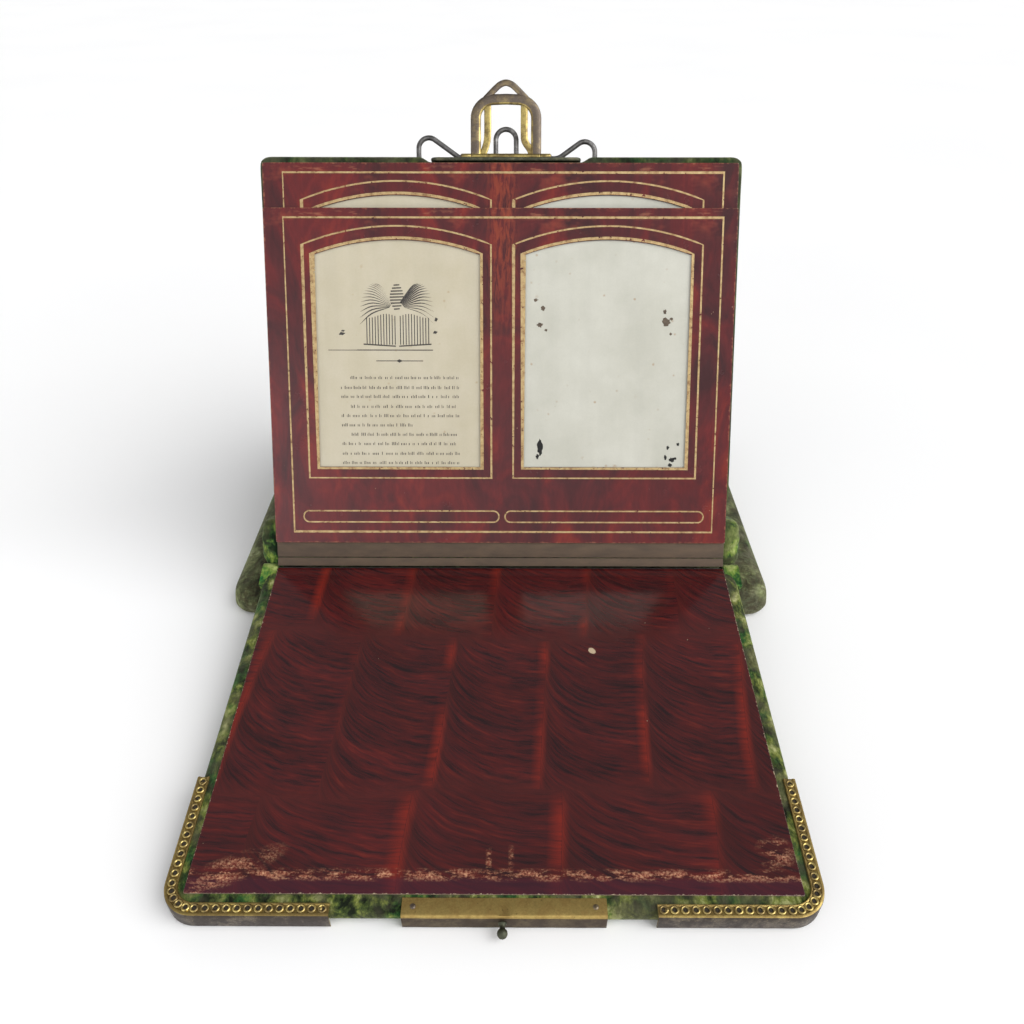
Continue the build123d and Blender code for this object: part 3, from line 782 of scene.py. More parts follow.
def padded_block(name, loop, low, high, edge, voxel, cap, plane, material):
    """Wadded velvet over a board: a rounded slab, puffed by a short cloth simulation."""
    mesh = flat_plate(name, [loop], low, high, edge)
    obj = make(name, mesh, plane, material)
    remesh = obj.modifiers.new("even", "REMESH")
    remesh.mode = "VOXEL"
    remesh.voxel_size = voxel
    mesh = evaluated(obj, name)
    obj = make(name, mesh, plane, material)
    rest = [v.co.copy() for v in mesh.vertices]
    scene = bpy.context.scene
    cloth = obj.modifiers.new("puff", "CLOTH")
    for key, value in PUFF.items():
        setattr(cloth.settings, key, value)
    cloth.settings.effector_weights.gravity = 0
    cloth.point_cache.frame_end = PUFF_FRAMES
    for step in range(1, PUFF_FRAMES + 1):
        scene.frame_set(step)
    graph = bpy.context.evaluated_depsgraph_get()
    moved = bpy.data.meshes.new_from_object(obj.evaluated_get(graph))
    puffed = [v.co.copy() for v in moved.vertices]
    obj.modifiers.clear()
    bpy.data.meshes.remove(moved)
    scene.frame_set(1)
    for vertex, start, end in zip(mesh.vertices, rest, puffed):
        move = end - start
        if move.length > cap:
            move *= cap / move.length
        vertex.co = start + move
    divide = obj.modifiers.new("fine", "SUBSURF")
    divide.levels = 1
    divide.render_levels = 1
    mesh = evaluated(obj, name)
    obj = make(name, mesh, plane, material)
    mesh.polygons.foreach_set("use_smooth", [True] * len(mesh.polygons))
    return obj


# ---------------------------------------------------------------- build

PALE_EDGE = pulp("card_edge", (0.26, 0.20, 0.13), (0.10, 0.07, 0.05))
LEAF_EDGE = pulp("leaf_edge", (0.115, 0.060, 0.045), (0.040, 0.020, 0.018))
# Each palette runs: deep, mid, bright, pale, grey, lush; the pale and grey tones are painted sheen.
DEEP_GREENS = (
    (0.008, 0.013, 0.006), (0.052, 0.076, 0.020), (0.185, 0.215, 0.045), (0.460, 0.470, 0.210),
    (0.080, 0.074, 0.046), (0.020, 0.105, 0.026),
)
OLIVE_GREENS = (
    (0.024, 0.026, 0.015), (0.090, 0.101, 0.048), (0.200, 0.222, 0.098), (0.430, 0.460, 0.270),
    (0.128, 0.120, 0.080), (0.055, 0.100, 0.034),
)
# Darker copy of the cover velvet: painted shade, for the back cover and the spine flap.
PAINTED_SHADE_GREENS = (
    (0.010, 0.014, 0.008), (0.034, 0.046, 0.018), (0.085, 0.105, 0.034), (0.240, 0.260, 0.120),
    (0.055, 0.052, 0.036), (0.018, 0.062, 0.020),
)
# Brighter copy of the cover velvet: painted light, for the spine and its bunches.
PAINTED_LIGHT_GREENS = (
    (0.008, 0.022, 0.008), (0.042, 0.110, 0.026), (0.195, 0.285, 0.045), (0.420, 0.500, 0.160),
    (0.082, 0.086, 0.040), (0.014, 0.125, 0.030),
)
# The first two velvets are painted-shade and painted-light copies of the cover velvet.
VELVET_PAINTED_SHADE = velvet("velvet", PAINTED_SHADE_GREENS, grain=110, calm=0.05)
VELVET_PAINTED_LIGHT = velvet("velvet_spine_painted_light", PAINTED_LIGHT_GREENS, grain=100)
VELVET_RIM = velvet("velvet_rim", DEEP_GREENS, grain=120, calm=0.012)
VELVET_BASE = velvet("velvet_base", OLIVE_GREENS, printed=0.5, grain=85, calm=0.05)
PANEL_PAPER = combed_paper("panel_paper")
LEAF_PAPER = marbled_card("leaf_paper")
CORE_PAPER = pulp("core_paper", (0.50, 0.45, 0.34), (0.38, 0.33, 0.24), 300)
GOLD_LINE = printed_gold("gold_line")
LINEN = linen_cloth("linen", (0.098, 0.062, 0.036), (0.056, 0.036, 0.022))
GUTTER = linen_cloth("gutter", (0.040, 0.028, 0.018), (0.016, 0.011, 0.008))
BRASS = aged_brass("brass", (0.56, 0.44, 0.16), (0.24, 0.175, 0.075), 0.25, 0.0, 0.32)
BRASS_DARK = aged_brass("brass_dark", (0.170, 0.140, 0.105), (0.085, 0.070, 0.060), 0.5, 1.2, 0.45)
BRASS_BROWN = aged_brass("brass_brown", (0.290, 0.225, 0.130), (0.160, 0.130, 0.105), 0.45, 0.0, 0.38)
# Darker brass for the clasp plate's front face: painted shade.
BRASS_PAINTED_SHADE = aged_brass("brass_painted_shade", (0.140, 0.105, 0.060), (0.090, 0.065, 0.045), 0.4, 0.0, 0.42)
BRASS_OLIVE = aged_brass("brass_olive", (0.420, 0.310, 0.105), (0.290, 0.205, 0.075), 0.35, 0.0, 0.40)
BRASS_SHEET = aged_brass("brass_sheet", (0.510, 0.370, 0.128), (0.400, 0.275, 0.095), 0.2, 0.0, 0.45)
BRASS_GREEN = aged_brass("brass_green", (0.190, 0.185, 0.120), (0.095, 0.100, 0.070), 0.45, 0.0, 0.5)
PIT = pulp("pit", (0.050, 0.038, 0.022), (0.018, 0.014, 0.010), 900)
STEEL = drawn_steel("steel")
INK = ink("ink")
BOARD = pulp("board", (0.30, 0.23, 0.14), (0.17, 0.12, 0.07))

# --- leaves

# Window and pocket outlines, measured on the face of a leaf.
WINDOW_SHIFT = 1.2 * MM
WINDOW_X = 62.7 * MM
WINDOW_HALF = 49.5 * MM
BOTTOM, SPRING, TOP = 47.5 * MM, 173.9 * MM, 182.4 * MM
FACE = 0.8 * MM
POCKET = 0.9 * MM
POCKET_HALF = 52.3 * MM
POCKET_FOOT = 42.4 * MM
CENTRES = (WINDOW_SHIFT - WINDOW_X, WINDOW_SHIFT + WINDOW_X)


def arched_loop(cx, half, bottom, spring, top, steps=24):
    """Straight-sided outline with a shallow arched head, anticlockwise."""
    rise = top - spring
    radius = (half * half + rise * rise) / (2 * rise)
    sweep = math.asin(min(1, half / radius))
    loop = [(cx - half, spring), (cx - half, bottom), (cx + half, bottom)]
    for i in range(steps + 1):
        a = sweep - 2 * sweep * i / steps
        loop.append((cx + radius * math.sin(a), top - radius + radius * math.cos(a)))
    return loop[:-1]


def comb_loop():
    """Core outline with the two pockets open at the top edge."""
    w, h = LEAF_W / 2, LEAF_H
    loop = [(-w, 0), (w, 0), (w, h)]
    for cx in reversed(CENTRES):
        loop += [(cx + POCKET_HALF, h), (cx + POCKET_HALF, POCKET_FOOT)]
        loop += [(cx - POCKET_HALF, POCKET_FOOT), (cx - POCKET_HALF, h)]
    loop.append((-w, h))
    return loop


def leaf_mesh(name, pockets):
    """Card leaf in three layers: windowed face, core with pockets, back."""
    corner = 1.2 * MM
    outline = rounded_loop(-LEAF_W / 2, LEAF_W / 2, 0, LEAF_H, (corner,) * 4, 4)
    windows = [arched_loop(cx, WINDOW_HALF, BOTTOM, SPRING, TOP) for cx in CENTRES]
    face = flat_plate("face", [outline, *windows], -FACE, 0, 0.12 * MM)
    paint(face, LEAF_PAPER, LEAF_EDGE)
    core_outline = comb_loop() if pockets else outline
    core = flat_plate("core", [core_outline], -FACE - POCKET, -FACE - 0.02 * MM)
    paint(core, CORE_PAPER, LEAF_EDGE)
    back = flat_plate("back", [outline], -LEAF_T, -FACE - POCKET - 0.02 * MM, 0.12 * MM)
    paint(back, CORE_PAPER, LEAF_EDGE)
    back.materials.append(LEAF_PAPER)
    for polygon in back.polygons:
        if polygon.normal.z < -0.6:
            polygon.material_index = 2
    return joined(name, [face, core, back])


def rectangle(x0, x1, y0, y1):
    return [(x0, y0), (x1, y0), (x1, y1), (x0, y1)]


BORDER = (-128.1 * MM, 131.4 * MM, 7.0 * MM, 195.2 * MM)


def gold_mesh(name, height):
    """All the gold lines of one printed face."""
    lines = [ribbon("border", rectangle(*BORDER), 1.0 * MM, height)]
    for cx in CENTRES:
        band = arched_loop(cx, WINDOW_HALF + 0.8 * MM, BOTTOM - 0.8 * MM, SPRING + 0.7 * MM, TOP + 1.2 * MM)
        lines.append(ribbon("band", band, 1.6 * MM, height))
        line = arched_loop(cx, 56.0 * MM, 40.7 * MM, 179.8 * MM, 190.4 * MM)
        lines.append(ribbon("line", line, 0.95 * MM, height))
    for x0, x1 in ((-122.0, -0.8), (2.9, 125.8)):
        track = rounded_loop(x0 * MM, x1 * MM, 13.1 * MM, 20.1 * MM, (3.45 * MM,) * 4, 6)
        lines.append(ribbon("track", track, 0.85 * MM, height))
    return joined(name, lines)


def border_mesh(name, height):
    """Plain gold border for the back of a leaf, seen from behind."""
    left, right, low, high = BORDER
    return ribbon(name, rectangle(-right, -left, low, high)[::-1], 1.0 * MM, height)


pocket_leaf = leaf_mesh("leaf_pocketed", True)
plain_leaf = leaf_mesh("leaf_plain", False)
gold_face = gold_mesh("gold_face", 0.03 * MM)
gold_back = border_mesh("gold_back", -LEAF_T - 0.03 * MM)
for k in range(1, LEAVES + 1):
    plane = leaf_planes[k - 1]
    card = make(f"leaf_{k}_board", pocket_leaf if k <= 2 else plain_leaf, plane)
    fit(card, f"leaf_{k}", "leaf_card", f"leaf_{k}_card")
    for part, mesh in (("gold", gold_face), ("gold_rear", gold_back)):
        lines = make(f"leaf_{k}_{part}", mesh, plane)
        fit(lines, f"leaf_{k}", "leaf_card")

# Photo slips: two kinds of aged paper.
CREAM_SLIP = foxed_paper("slip_cream", page, (0.455, 0.408, 0.295), 0.40, (0.505, 0.46, 0.355))
PALE_SLIP = foxed_paper("slip_pale", page, (0.46, 0.455, 0.39), 0.60, (0.535, 0.53, 0.465))
for k in (1, 2):
    dress(f"leaf_{k}_slip_left", CREAM_SLIP)
    dress(f"leaf_{k}_slip_right", PALE_SLIP)

SLIP_FRONT = local_box("leaf_1_slip_left", page)[1].z + 0.03 * MM


def polygons_mesh(name, shapes, height, material):
    """Flat printed shapes, each a list of (x, y) in millimetres."""
    bm = bmesh.new()
    for shape in shapes:
        verts = [bm.verts.new((x * MM, y * MM, height)) for x, y in shape]
        edges = [bm.edges.new((verts[i], verts[(i + 1) % len(verts)])) for i in range(len(verts))]
        bmesh.ops.triangle_fill(bm, edges=edges, use_beauty=True, normal=(0, 0, 1))
    bmesh.ops.recalc_face_normals(bm, faces=bm.faces)
    mesh = mesh_from(bm, name, material)
    if mesh.polygons[0].normal.z < 0:
        mesh.flip_normals()
    return mesh


def dash_rows():
    """Rows of short broken strokes that stand for lines of small print."""
    dice = random.Random(5)
    shapes = []
    rows = [(101.6, -91.1), (95.6, -96.9), (90.2, -96.9), (84.2, -91.1), (78.6, -96.9), (72.9, -96.9)]
    rows += [(67.2, -91.1), (61.5, -96.9), (55.5, -96.9), (49.8, -96.9)]
    for row, (s, start) in enumerate(rows):
        end = -52.0 if row == 5 else -24.8
        x = start
        while x < end - 1.5:
            length = dice.choice((1.2, 1.8, 2.6, 3.4, 4.4))
            stop = min(end, x + length)
            piece = x
            while piece < stop - 0.3:
                w = dice.uniform(0.45, 0.9)
                tall = dice.choice((1.3, 1.3, 1.9))
                shapes.append(rectangle(piece, min(stop, piece + w * 0.6), s - 0.65, s - 0.65 + tall))
                piece += w + 0.25
            x = stop + dice.uniform(1.0, 1.6)
    return shapes


def emblem():
    """Generic printer's ornament: spread plumes over a fluted block."""
    shapes = []
    cx = -62.0
    for side in (-1, 1):
        for i in range(13):
            t = i / 12
            base = Vector((cx + side * (2.0 + 2.5 * t), 146.5 - 3.0 * t))
            reach = Vector((cx + side * (8.0 + 14.5 * math.sin(0.35 + 1.25 * t)), 157.5 - 24.0 * t * t))
            mid = (base + reach) / 2 + Vector((side * 1.5, 3.4 - 2.0 * t))
            path = soft_curve([base, mid, reach], 4)
            left, right = [], []
            for j, p in enumerate(path):
                w = 0.52 * math.sin(math.pi * min(0.97, 0.12 + 0.85 * j / (len(path) - 1)))
                left.append((p.x - w * 0.45, p.y + w * 0.6))
                right.append((p.x + w * 0.45, p.y - w * 0.6))
            shapes.append(left + right[::-1])
    for i in range(9):
        y = 142.0 + 1.75 * i
        half = 4.2 * math.sin(math.pi * (i + 1.5) / 11)
        shapes.append([(cx - half, y), (cx + half, y + 0.3), (cx + half, y + 1.05), (cx - half, y + 0.85)])
    for side in (-1, 1):
        for i in range(11):
            x = cx + side * (1.6 + 1.7 * i)
            high = 138.5 + 1.2 * math.sin(i * 0.5)
            shapes.append(rectangle(x, x + 0.55, 121.5, high))
        shapes.append(
            [(cx + side * 1.0, 120.2), (cx + side * 20.5, 121.4), (cx + side * 20.5, 122.2), (cx + side * 1.0, 121.0)]
        )
    shapes.append(rectangle(-86.4, -40.6, 118.0, 118.6))
    shapes.append(rectangle(-103.9, -85.0, 118.05, 118.45))
    shapes.append(rectangle(-75.1, -46.7, 111.6, 112.1))
    shapes.append([(-63.0, 111.85), (-61.0, 110.8), (-59.0, 111.85), (-61.0, 112.9)])
    scraps = [(-97.4, 127.4, 4.2, 1.6), (-96.0, 129.4, 2.6, 0.9), (-40.6, 128.2, 3.0, 1.6), (-39.6, 135.5, 2.2, 2.2)]
    for x, y, w, h in scraps:
        shapes.append([(x, y), (x + w * 0.6, y - 0.3), (x + w, y + h * 0.6), (x + w * 0.3, y + h)])
    return shapes


print_mesh = polygons_mesh("slip_print", emblem() + dash_rows(), SLIP_FRONT, INK)
slip_print = make("slip_print", print_mesh, page)
fit(slip_print, "slip_left", "photo_slip")


def blot(x, y, rx, ry, seed):
    """Ragged patch outline in millimetres."""
    dice = random.Random(seed)
    points = []
    for i in range(22):
        a = 2 * math.pi * i / 22
        r = dice.uniform(0.62, 1.1)
        points.append((x + rx * r * math.cos(a), y + ry * r * math.sin(a)))
    return points


STAIN = pulp("stain", (0.16, 0.12, 0.085), (0.07, 0.05, 0.035), 900)
LOSS = pulp("loss", (0.012, 0.011, 0.010), (0.005, 0.005, 0.005), 900)
stains = [
    (25.6, 143.2, 1.4, 1.6), (23.8, 133.3, 2.1, 1.5), (21.3, 147.9, 1.5, 1.0), (27.5, 130.3, 1.0, 0.9),
    (99.6, 135.2, 3.2, 2.6), (98.6, 141.0, 1.1, 1.6), (102.5, 128.1, 0.8, 1.0), (102.6, 137.0, 1.4, 1.0),
]
losses = [
    (24.3, 60.0, 1.9, 5.2), (22.8, 54.0, 1.2, 1.7), (102.8, 59.6, 1.0, 1.3), (105.5, 52.2, 2.0, 1.6),
    (101.5, 53.6, 1.1, 1.6), (108.9, 61.6, 1.0, 1.1), (104.4, 48.9, 1.3, 1.3), (107.4, 53.0, 1.2, 0.9),
]
for name, marks, material in (("slip_stains", stains, STAIN), ("slip_losses", losses, LOSS)):
    shapes = [blot(*mark, seed) for seed, mark in enumerate(marks)]
    marks_obj = make(name, polygons_mesh(name, shapes, SLIP_FRONT, material), page)
    fit(marks_obj, "slip_right", "photo_slip")

# Linen hinge strips, creased across the front where strip and tab meet.
TURN_S = -9.8 * MM
CREASE = 2.6 * MM


def extrude_across(name, outline, left, right):
    """Plate drawn as an (up, out) outline and stretched across the album."""
    made = flat_plate(name, [outline], left, right, 0.2 * MM)
    made.transform(Matrix(((0, 0, 1, 0), (1, 0, 0, 0), (0, 1, 0, 0), (0, 0, 0, 1))))
    return made


for k in range(1, LEAVES + 1):
    low, high = local_box(f"leaf_{k}_linen", leaf_planes[k - 1])
    middle = (low.z + high.z) / 2
    top = high.y + 0.2 * MM
    strip = extrude_across(
        f"leaf_{k}_strip",
        [(low.y, low.z), (top, low.z), (top, high.z), (low.y + CREASE, high.z), (low.y, middle)],
        low.x + 0.4 * MM, high.x - 0.4 * MM,
    )
    piece = make(f"leaf_{k}_strip", strip, leaf_planes[k - 1], LINEN)
    fit(piece, f"leaf_{k}", "linen", f"leaf_{k}_linen")
low, high = local_box("leaf_1_tab", page)
middle = (low.z + high.z) / 2
top = TURN_S - 0.1 * MM
tab_mesh = extrude_across(
    "tab", [(low.y, low.z), (top, low.z), (top, middle), (top - CREASE, high.z), (low.y, high.z)],
    low.x + 0.4 * MM, high.x - 0.4 * MM,
)
tab = make("leaf_1_hinge_tab_cloth", tab_mesh, page, LINEN)
fit(tab, "leaf_1_hinge_tab", "linen", "leaf_1_tab")

# --- lining panels

def paper_sheet(name, node, body, plane, clear=0.0, corner=0.0, steps=8, bevel=0.25 * MM):
    """Lining paper: printed face, pale rim, kept clear of its node's edges."""
    low, high = local_box(node, plane)
    loop = rounded_loop(low.x + clear, high.x - clear, low.y + clear, high.y - clear, (corner,) * 4, steps)
    mesh = flat_plate(name, [loop], low.z, high.z, bevel)
    fit(make(name, paint(mesh, PANEL_PAPER, PALE_EDGE), plane), body, "lining_paper", node)


paper_sheet("front_panel", "front_cover_lining", "front_cover", panel, corner=0.8 * MM, steps=3)
back_plane = face_plane("back_cover_lining", LEAF_FACING)
paper_sheet("back_panel", "back_cover_lining", "album_back", back_plane)


def hidden_board(name, node, body, plane):
    """Pulp board inside the padding, kept clear of its surface."""
    low, high = local_box(node, plane)
    clear = 5 * MM
    loop = rounded_loop(low.x + clear, high.x - clear, low.y + clear, high.y - clear, (6 * MM,) * 4)
    mesh = flat_plate(name, [loop], low.z + 1.2 * MM, high.z - 1.2 * MM, 0.4 * MM)
    piece = make(name, mesh, plane, BOARD)
    fit(piece, body, "cover_board", node)


hidden_board("front_core", "front_cover_board", "front_cover", panel)
hidden_board("back_core", "back_cover_board", "album_back", page)
hidden_board("spine_core", "spine_board", "album_back", page)
hidden_board("base_core", "base_board", "base", WORLD)
paper_sheet("base_paper", "base_lining", "base", WORLD, 7 * MM, 11 * MM, bevel=0.2 * MM)

# --- velvet

def velvet_shell(name, node, body, plane, corners, edge, voxel, cap, material, settle=None, wide=0.0):
    """Plush cover in a node's place: edge is its rounding, cap how far it may puff up."""
    low, high = local_box(node, plane)
    inset = cap * 0.6
    loop = rounded_loop(
        low.x + inset - wide, high.x - inset + wide, low.y + inset, high.y - inset,
        [corner - inset for corner in corners], 8,
    )
    piece = padded_block(name, loop, low.z + inset, high.z - inset, edge, voxel, cap, plane, material)
    if settle is not None:
        for vertex in piece.data.vertices:
            vertex.co = settle(vertex.co.copy())
    fit(piece, body, "velvet", node)


def rest_on_table(co):
    """The base's padding is pressed flat by its own weight."""
    skirt = max(0.0, 1.0 - co.z / (10 * MM))
    co.x *= 1 + 0.012 * skirt
    co.y *= 1 + 0.024 * skirt
    co.z = max(co.z - 1.8 * MM * skirt, 0.7 * MM)
    return co


def fade(value, start, run):
    """0 up to the start, then rising to 1 over the run; all in millimetres."""
    return min(1.0, max(0.0, (value - start * MM) / (run * MM)))


def rise_beside_plate(co):
    """The padding stands proud of the metal plate let into its top edge."""
    beside = fade(abs(co.x - 3 * MM), 47, 5)
    near_top = fade(co.y, 225, 7)
    shallow = fade(co.z, -33.5, 3)
    co.y += 3.0 * MM * beside * near_top * shallow
    return co


def gather_at_ends(co):
    """The spine's plush bunches up at its ends and sags on to the front cover."""
    end = fade(abs(co.x), 132, 12)
    under = fade(-co.y, 4, 8)
    co.y -= (0.8 + 1.6 * end) * MM * under
    co.x += math.copysign(0.9 * MM * end * math.sin(co.y * 520 + co.z * 260), co.x)
    co.z += 0.7 * MM * end * math.sin(co.y * 700 + 1.0)
    return co


round_all = 15 * MM
velvet_shell(
    "front_cover_plush", "front_cover_velvet", "front_cover", panel, (round_all, round_all, 4 * MM, 4 * MM),
    1.6 * MM, 3.2 * MM, 0.8 * MM, VELVET_RIM,
)
# The back cover's plush takes the painted-shade copy of the velvet.
velvet_shell(
    "back_cover_plush", "back_cover_velvet", "album_back", page, (round_all, round_all, 5 * MM, 5 * MM),
    1.4 * MM, 3.2 * MM, 0.8 * MM, VELVET_PAINTED_SHADE, rise_beside_plate,
)
velvet_shell(
    "base_plush", "base_velvet", "base", WORLD, (16 * MM,) * 4, 6.0 * MM, 4.5 * MM, 1.6 * MM, VELVET_BASE,
    rest_on_table,
)
# The spine's plush takes the painted-light copy of the velvet.
velvet_shell(
    "spine_plush", "spine_velvet", "album_back", page, (6 * MM,) * 4, 5.0 * MM, 4.0 * MM, 1.4 * MM,
    VELVET_PAINTED_LIGHT, gather_at_ends, 3.5 * MM,
)

# --- cloth joints


def fold(name, profile, left, right, thick, material):
    """Strip of cloth with a bent cross-section in y and z, running across the album."""
    path = soft_curve(profile, 5)
    verts, faces = [], []
    rows = len(path)
    columns = 40
    for side in (0, 1):
        for i, p in enumerate(path):
            before, after = path[max(i - 1, 0)], path[min(i + 1, rows - 1)]
            along = (after - before).normalized()
            out = Vector((-along.y, along.x)) * thick * side
            for c in range(columns + 1):
                x = left + (right - left) * c / columns
                ripple = 0.35 * MM * math.sin(c * 1.7) * math.sin(math.pi * i / (rows - 1))
                verts.append((x, p.x + out.x + ripple * out.y / thick if side else p.x, p.y + out.y))
    step = columns + 1
    size = rows * step
    for i in range(rows - 1):
        for c in range(columns):
            a = i * step + c
            faces.append((a, a + 1, a + step + 1, a + step))
            faces.append((size + a, size + a + step, size + a + step + 1, size + a + 1))
    for i in range(rows - 1):
        for c in (0, columns):
            a = i * step + c
            faces.append((a, a + step, size + a + step, size + a))
    for c in range(columns):
        for i in (0, rows - 1):
            a = i * step + c
            faces.append((a, a + 1, size + a + 1, size + a))
    mesh = mesh_of(name, verts, faces)
    point_outwards(mesh)
    piece = make(name, mesh, WORLD, material)
    smooth(piece, 60)
    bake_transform(piece)
    return piece


low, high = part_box("gutter_cloth")
gutter = fold(
    "gutter_fold",
    [(-0.098, 0.0190), (-0.1015, 0.0215), (-0.1035, 0.0260), (-0.1060, 0.0300), (-0.1100, 0.0315)], -high.x,
    high.x, 1.0 * MM, GUTTER,
)
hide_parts("gutter_cloth")
BUNCH_PATH = [(-0.093, 0.0182), (-0.0985, 0.0240), (-0.1030, 0.0305), (-0.1080, 0.0328)]
BUNCH_PATH += [(-0.1150, 0.0312), (-0.1220, 0.0290)]
# The gutter bunches take the painted-light copy of the velvet.
for side, name in ((-1, "left"), (1, "right")):
    inner, outer = side * 140.5 * MM, side * 150.0 * MM
    bunch = fold(
        f"gutter_bunch_{name}", BUNCH_PATH, min(inner, outer), max(inner, outer), 5.5 * MM, VELVET_PAINTED_LIGHT,
    )
low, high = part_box("spine_joint_cloth")
# The spine flap takes the painted-shade copy of the velvet.
flap = fold(
    "spine_flap", [(-0.0500, 0.0190), (-0.0600, 0.0192), (-0.0700, 0.0196), (-0.0770, 0.0200)], -high.x, high.x,
    1.0 * MM, VELVET_PAINTED_SHADE,
)
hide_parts("spine_joint_cloth")
low, high = local_box("hinge_linen", page)
hinge = make(
    "hinge_strip", flat_plate("hinge", [rectangle(low.x, high.x, low.y, high.y)], low.z, high.z, 0.3 * MM),
    page, LINEN,
)
fit(hinge, "album_back", "linen", "hinge_linen")

# --- corner guards

COVER_HALF = local_box("front_cover_velvet", panel)[1].x
NEAR = local_box("front_cover_velvet", panel)[0].y
RIM_TOP = local_box("front_cover_velvet", panel)[1].z
GUARD_CORNER = 15 * MM
GUARD_SIDE = 69 * MM
GUARD_FRONT = 76 * MM
GUARD_STRIP = 5.5 * MM
BRASS_T = 0.6 * MM
GUARD_DROP = 9.4 * MM


def guard_path(side):
    """Outer edge under one guard, from left to right as seen from the near edge."""
    cx, cy = side * (COVER_HALF - GUARD_CORNER), NEAR + GUARD_CORNER
    end = side * (COVER_HALF - GUARD_FRONT)
    legs, bends = 12, 16
    points = [(side * COVER_HALF, NEAR + GUARD_SIDE + i / legs * (cy - NEAR - GUARD_SIDE)) for i in range(legs)]
    for i in range(bends + 1):
        a = math.radians(90 * i / bends)
        points.append((cx + side * GUARD_CORNER * math.cos(a), cy - GUARD_CORNER * math.sin(a)))
    points += [(cx + (end - cx) * i / legs, NEAR) for i in range(1, legs + 1)]
    return points if side < 0 else points[::-1]


def along_path(path, pitch, inset, margin):
    """Evenly spaced points beside a path."""
    spots = []
    travelled, goal = 0.0, margin
    for a, b in zip(path, path[1:]):
        a, b = Vector(a), Vector(b)
        length = (b - a).length
        while travelled + length >= goal:
            here = a + (b - a) * ((goal - travelled) / length)
            along = (b - a).normalized()
            spots.append(here - Vector((along.y, -along.x)) * inset)
            goal += pitch
        travelled += length
    return spots


def guard_profile():
    """Section of a guard: raised lips beside a sunk band, then down over the edge."""
    t = RIM_TOP
    return [
        (-GUARD_STRIP, t - 0.3 * MM), (-GUARD_STRIP, t + BRASS_T),
        (-GUARD_STRIP + 0.3 * MM, t + BRASS_T + 0.35 * MM), (-GUARD_STRIP + 0.9 * MM, t + BRASS_T + 0.30 * MM),
        (-GUARD_STRIP + 1.2 * MM, t + BRASS_T - 0.05 * MM), (-1.1 * MM, t + BRASS_T - 0.05 * MM),
        (-0.8 * MM, t + BRASS_T + 0.30 * MM), (-0.1 * MM, t + BRASS_T + 0.30 * MM),
        (0.5 * MM, t + BRASS_T - 0.05 * MM), (0.75 * MM, t - 0.6 * MM), (0.80 * MM, t - GUARD_DROP + 0.6 * MM),
        (0.55 * MM, t - GUARD_DROP), (0.05 * MM, t - GUARD_DROP), (0.05 * MM, t - 0.3 * MM),
    ]


for side, name in ((-1, "left"), (1, "right")):
    path = guard_path(side)
    strip = sweep_profile(f"guard_{name}", path, guard_profile(), BRASS_OLIVE, BRASS_DARK)
    second_material(strip, path, len(guard_profile()), (8, 9, 10, 11))
    rings = []
    for spot in along_path(path, 4.75 * MM, GUARD_STRIP / 2 + 0.05 * MM, 2.6 * MM):
        rings.append(torus(spot.x, spot.y, RIM_TOP + BRASS_T + 0.12 * MM, 1.55 * MM, 0.56 * MM, BRASS))
        level = RIM_TOP + BRASS_T - 0.04 * MM
        rings.append(dome(spot.x, spot.y, level, 1.1 * MM, 0.10 * MM, PIT, rings=2, around=12))
    whole = smooth(make(f"corner_guard_strip_{name}", joined(f"guard_{name}", [strip, *rings]), panel), 45)
    fit(whole, "front_cover", "brass", f"corner_guard_{name}")

def heads(name, node, spots, radius, rise, material):
    """Round heads standing on the brass of the front cover."""
    domes = [dome(x, y, RIM_TOP + BRASS_T, radius, rise) for x, y in spots]
    piece = smooth(make(name, joined(name, domes), panel, material), 60)
    fit(piece, "front_cover", "brass", node)


nail_spots = []
for side in (-1, 1):
    nail_spots.append((side * (COVER_HALF - GUARD_STRIP / 2), NEAR + GUARD_SIDE - 4 * MM))
    nail_spots.append((side * (COVER_HALF - GUARD_FRONT + 4 * MM), NEAR + GUARD_STRIP / 2))
heads("guard_nail_heads", "guard_nails", nail_spots, 1.1 * MM, 0.75 * MM, BRASS)

# --- clasp plate, rivets and ball stud

low, high = local_box("clasp_plate", panel)
flange = high.y - NEAR
t = RIM_TOP
clasp_profile = [
    (-flange, t - 0.2 * MM), (-flange, t + BRASS_T - 0.1 * MM), (-flange + 0.3 * MM, t + BRASS_T + 0.05 * MM),
    (-0.6 * MM, t + BRASS_T + 0.05 * MM), (0.1 * MM, t + BRASS_T - 0.1 * MM),
    (0.55 * MM, t + BRASS_T - 0.5 * MM), (0.70 * MM, t - 0.8 * MM), (0.70 * MM, t - GUARD_DROP),
    (0.05 * MM, t - GUARD_DROP), (0.05 * MM, t - 0.2 * MM),
]
steps = 60
plate_path = [(low.x + (high.x - low.x) * i / steps, NEAR) for i in range(steps + 1)]
plate = sweep_profile("clasp", plate_path, clasp_profile, BRASS_SHEET, BRASS_PAINTED_SHADE)
# One small dent in the edge, and a slight waviness.
for vertex in plate.vertices:
    dent = math.exp(-(((vertex.co.x - 4.8 * MM) / (1.6 * MM)) ** 2))
    if abs(vertex.co.y - NEAR - 0.6 * MM) < 0.2 * MM:
        vertex.co.z -= dent * 0.9 * MM
    vertex.co.z += 0.08 * MM * math.sin(vertex.co.x * 300)
# The plate's front face and lower edge take the darker brass: painted shade.
second_material(plate, plate_path, len(clasp_profile), (6, 7))
clasp = smooth(make("clasp_front_plate", plate, panel), 40)
fit(clasp, "front_cover", "brass", "clasp_plate")

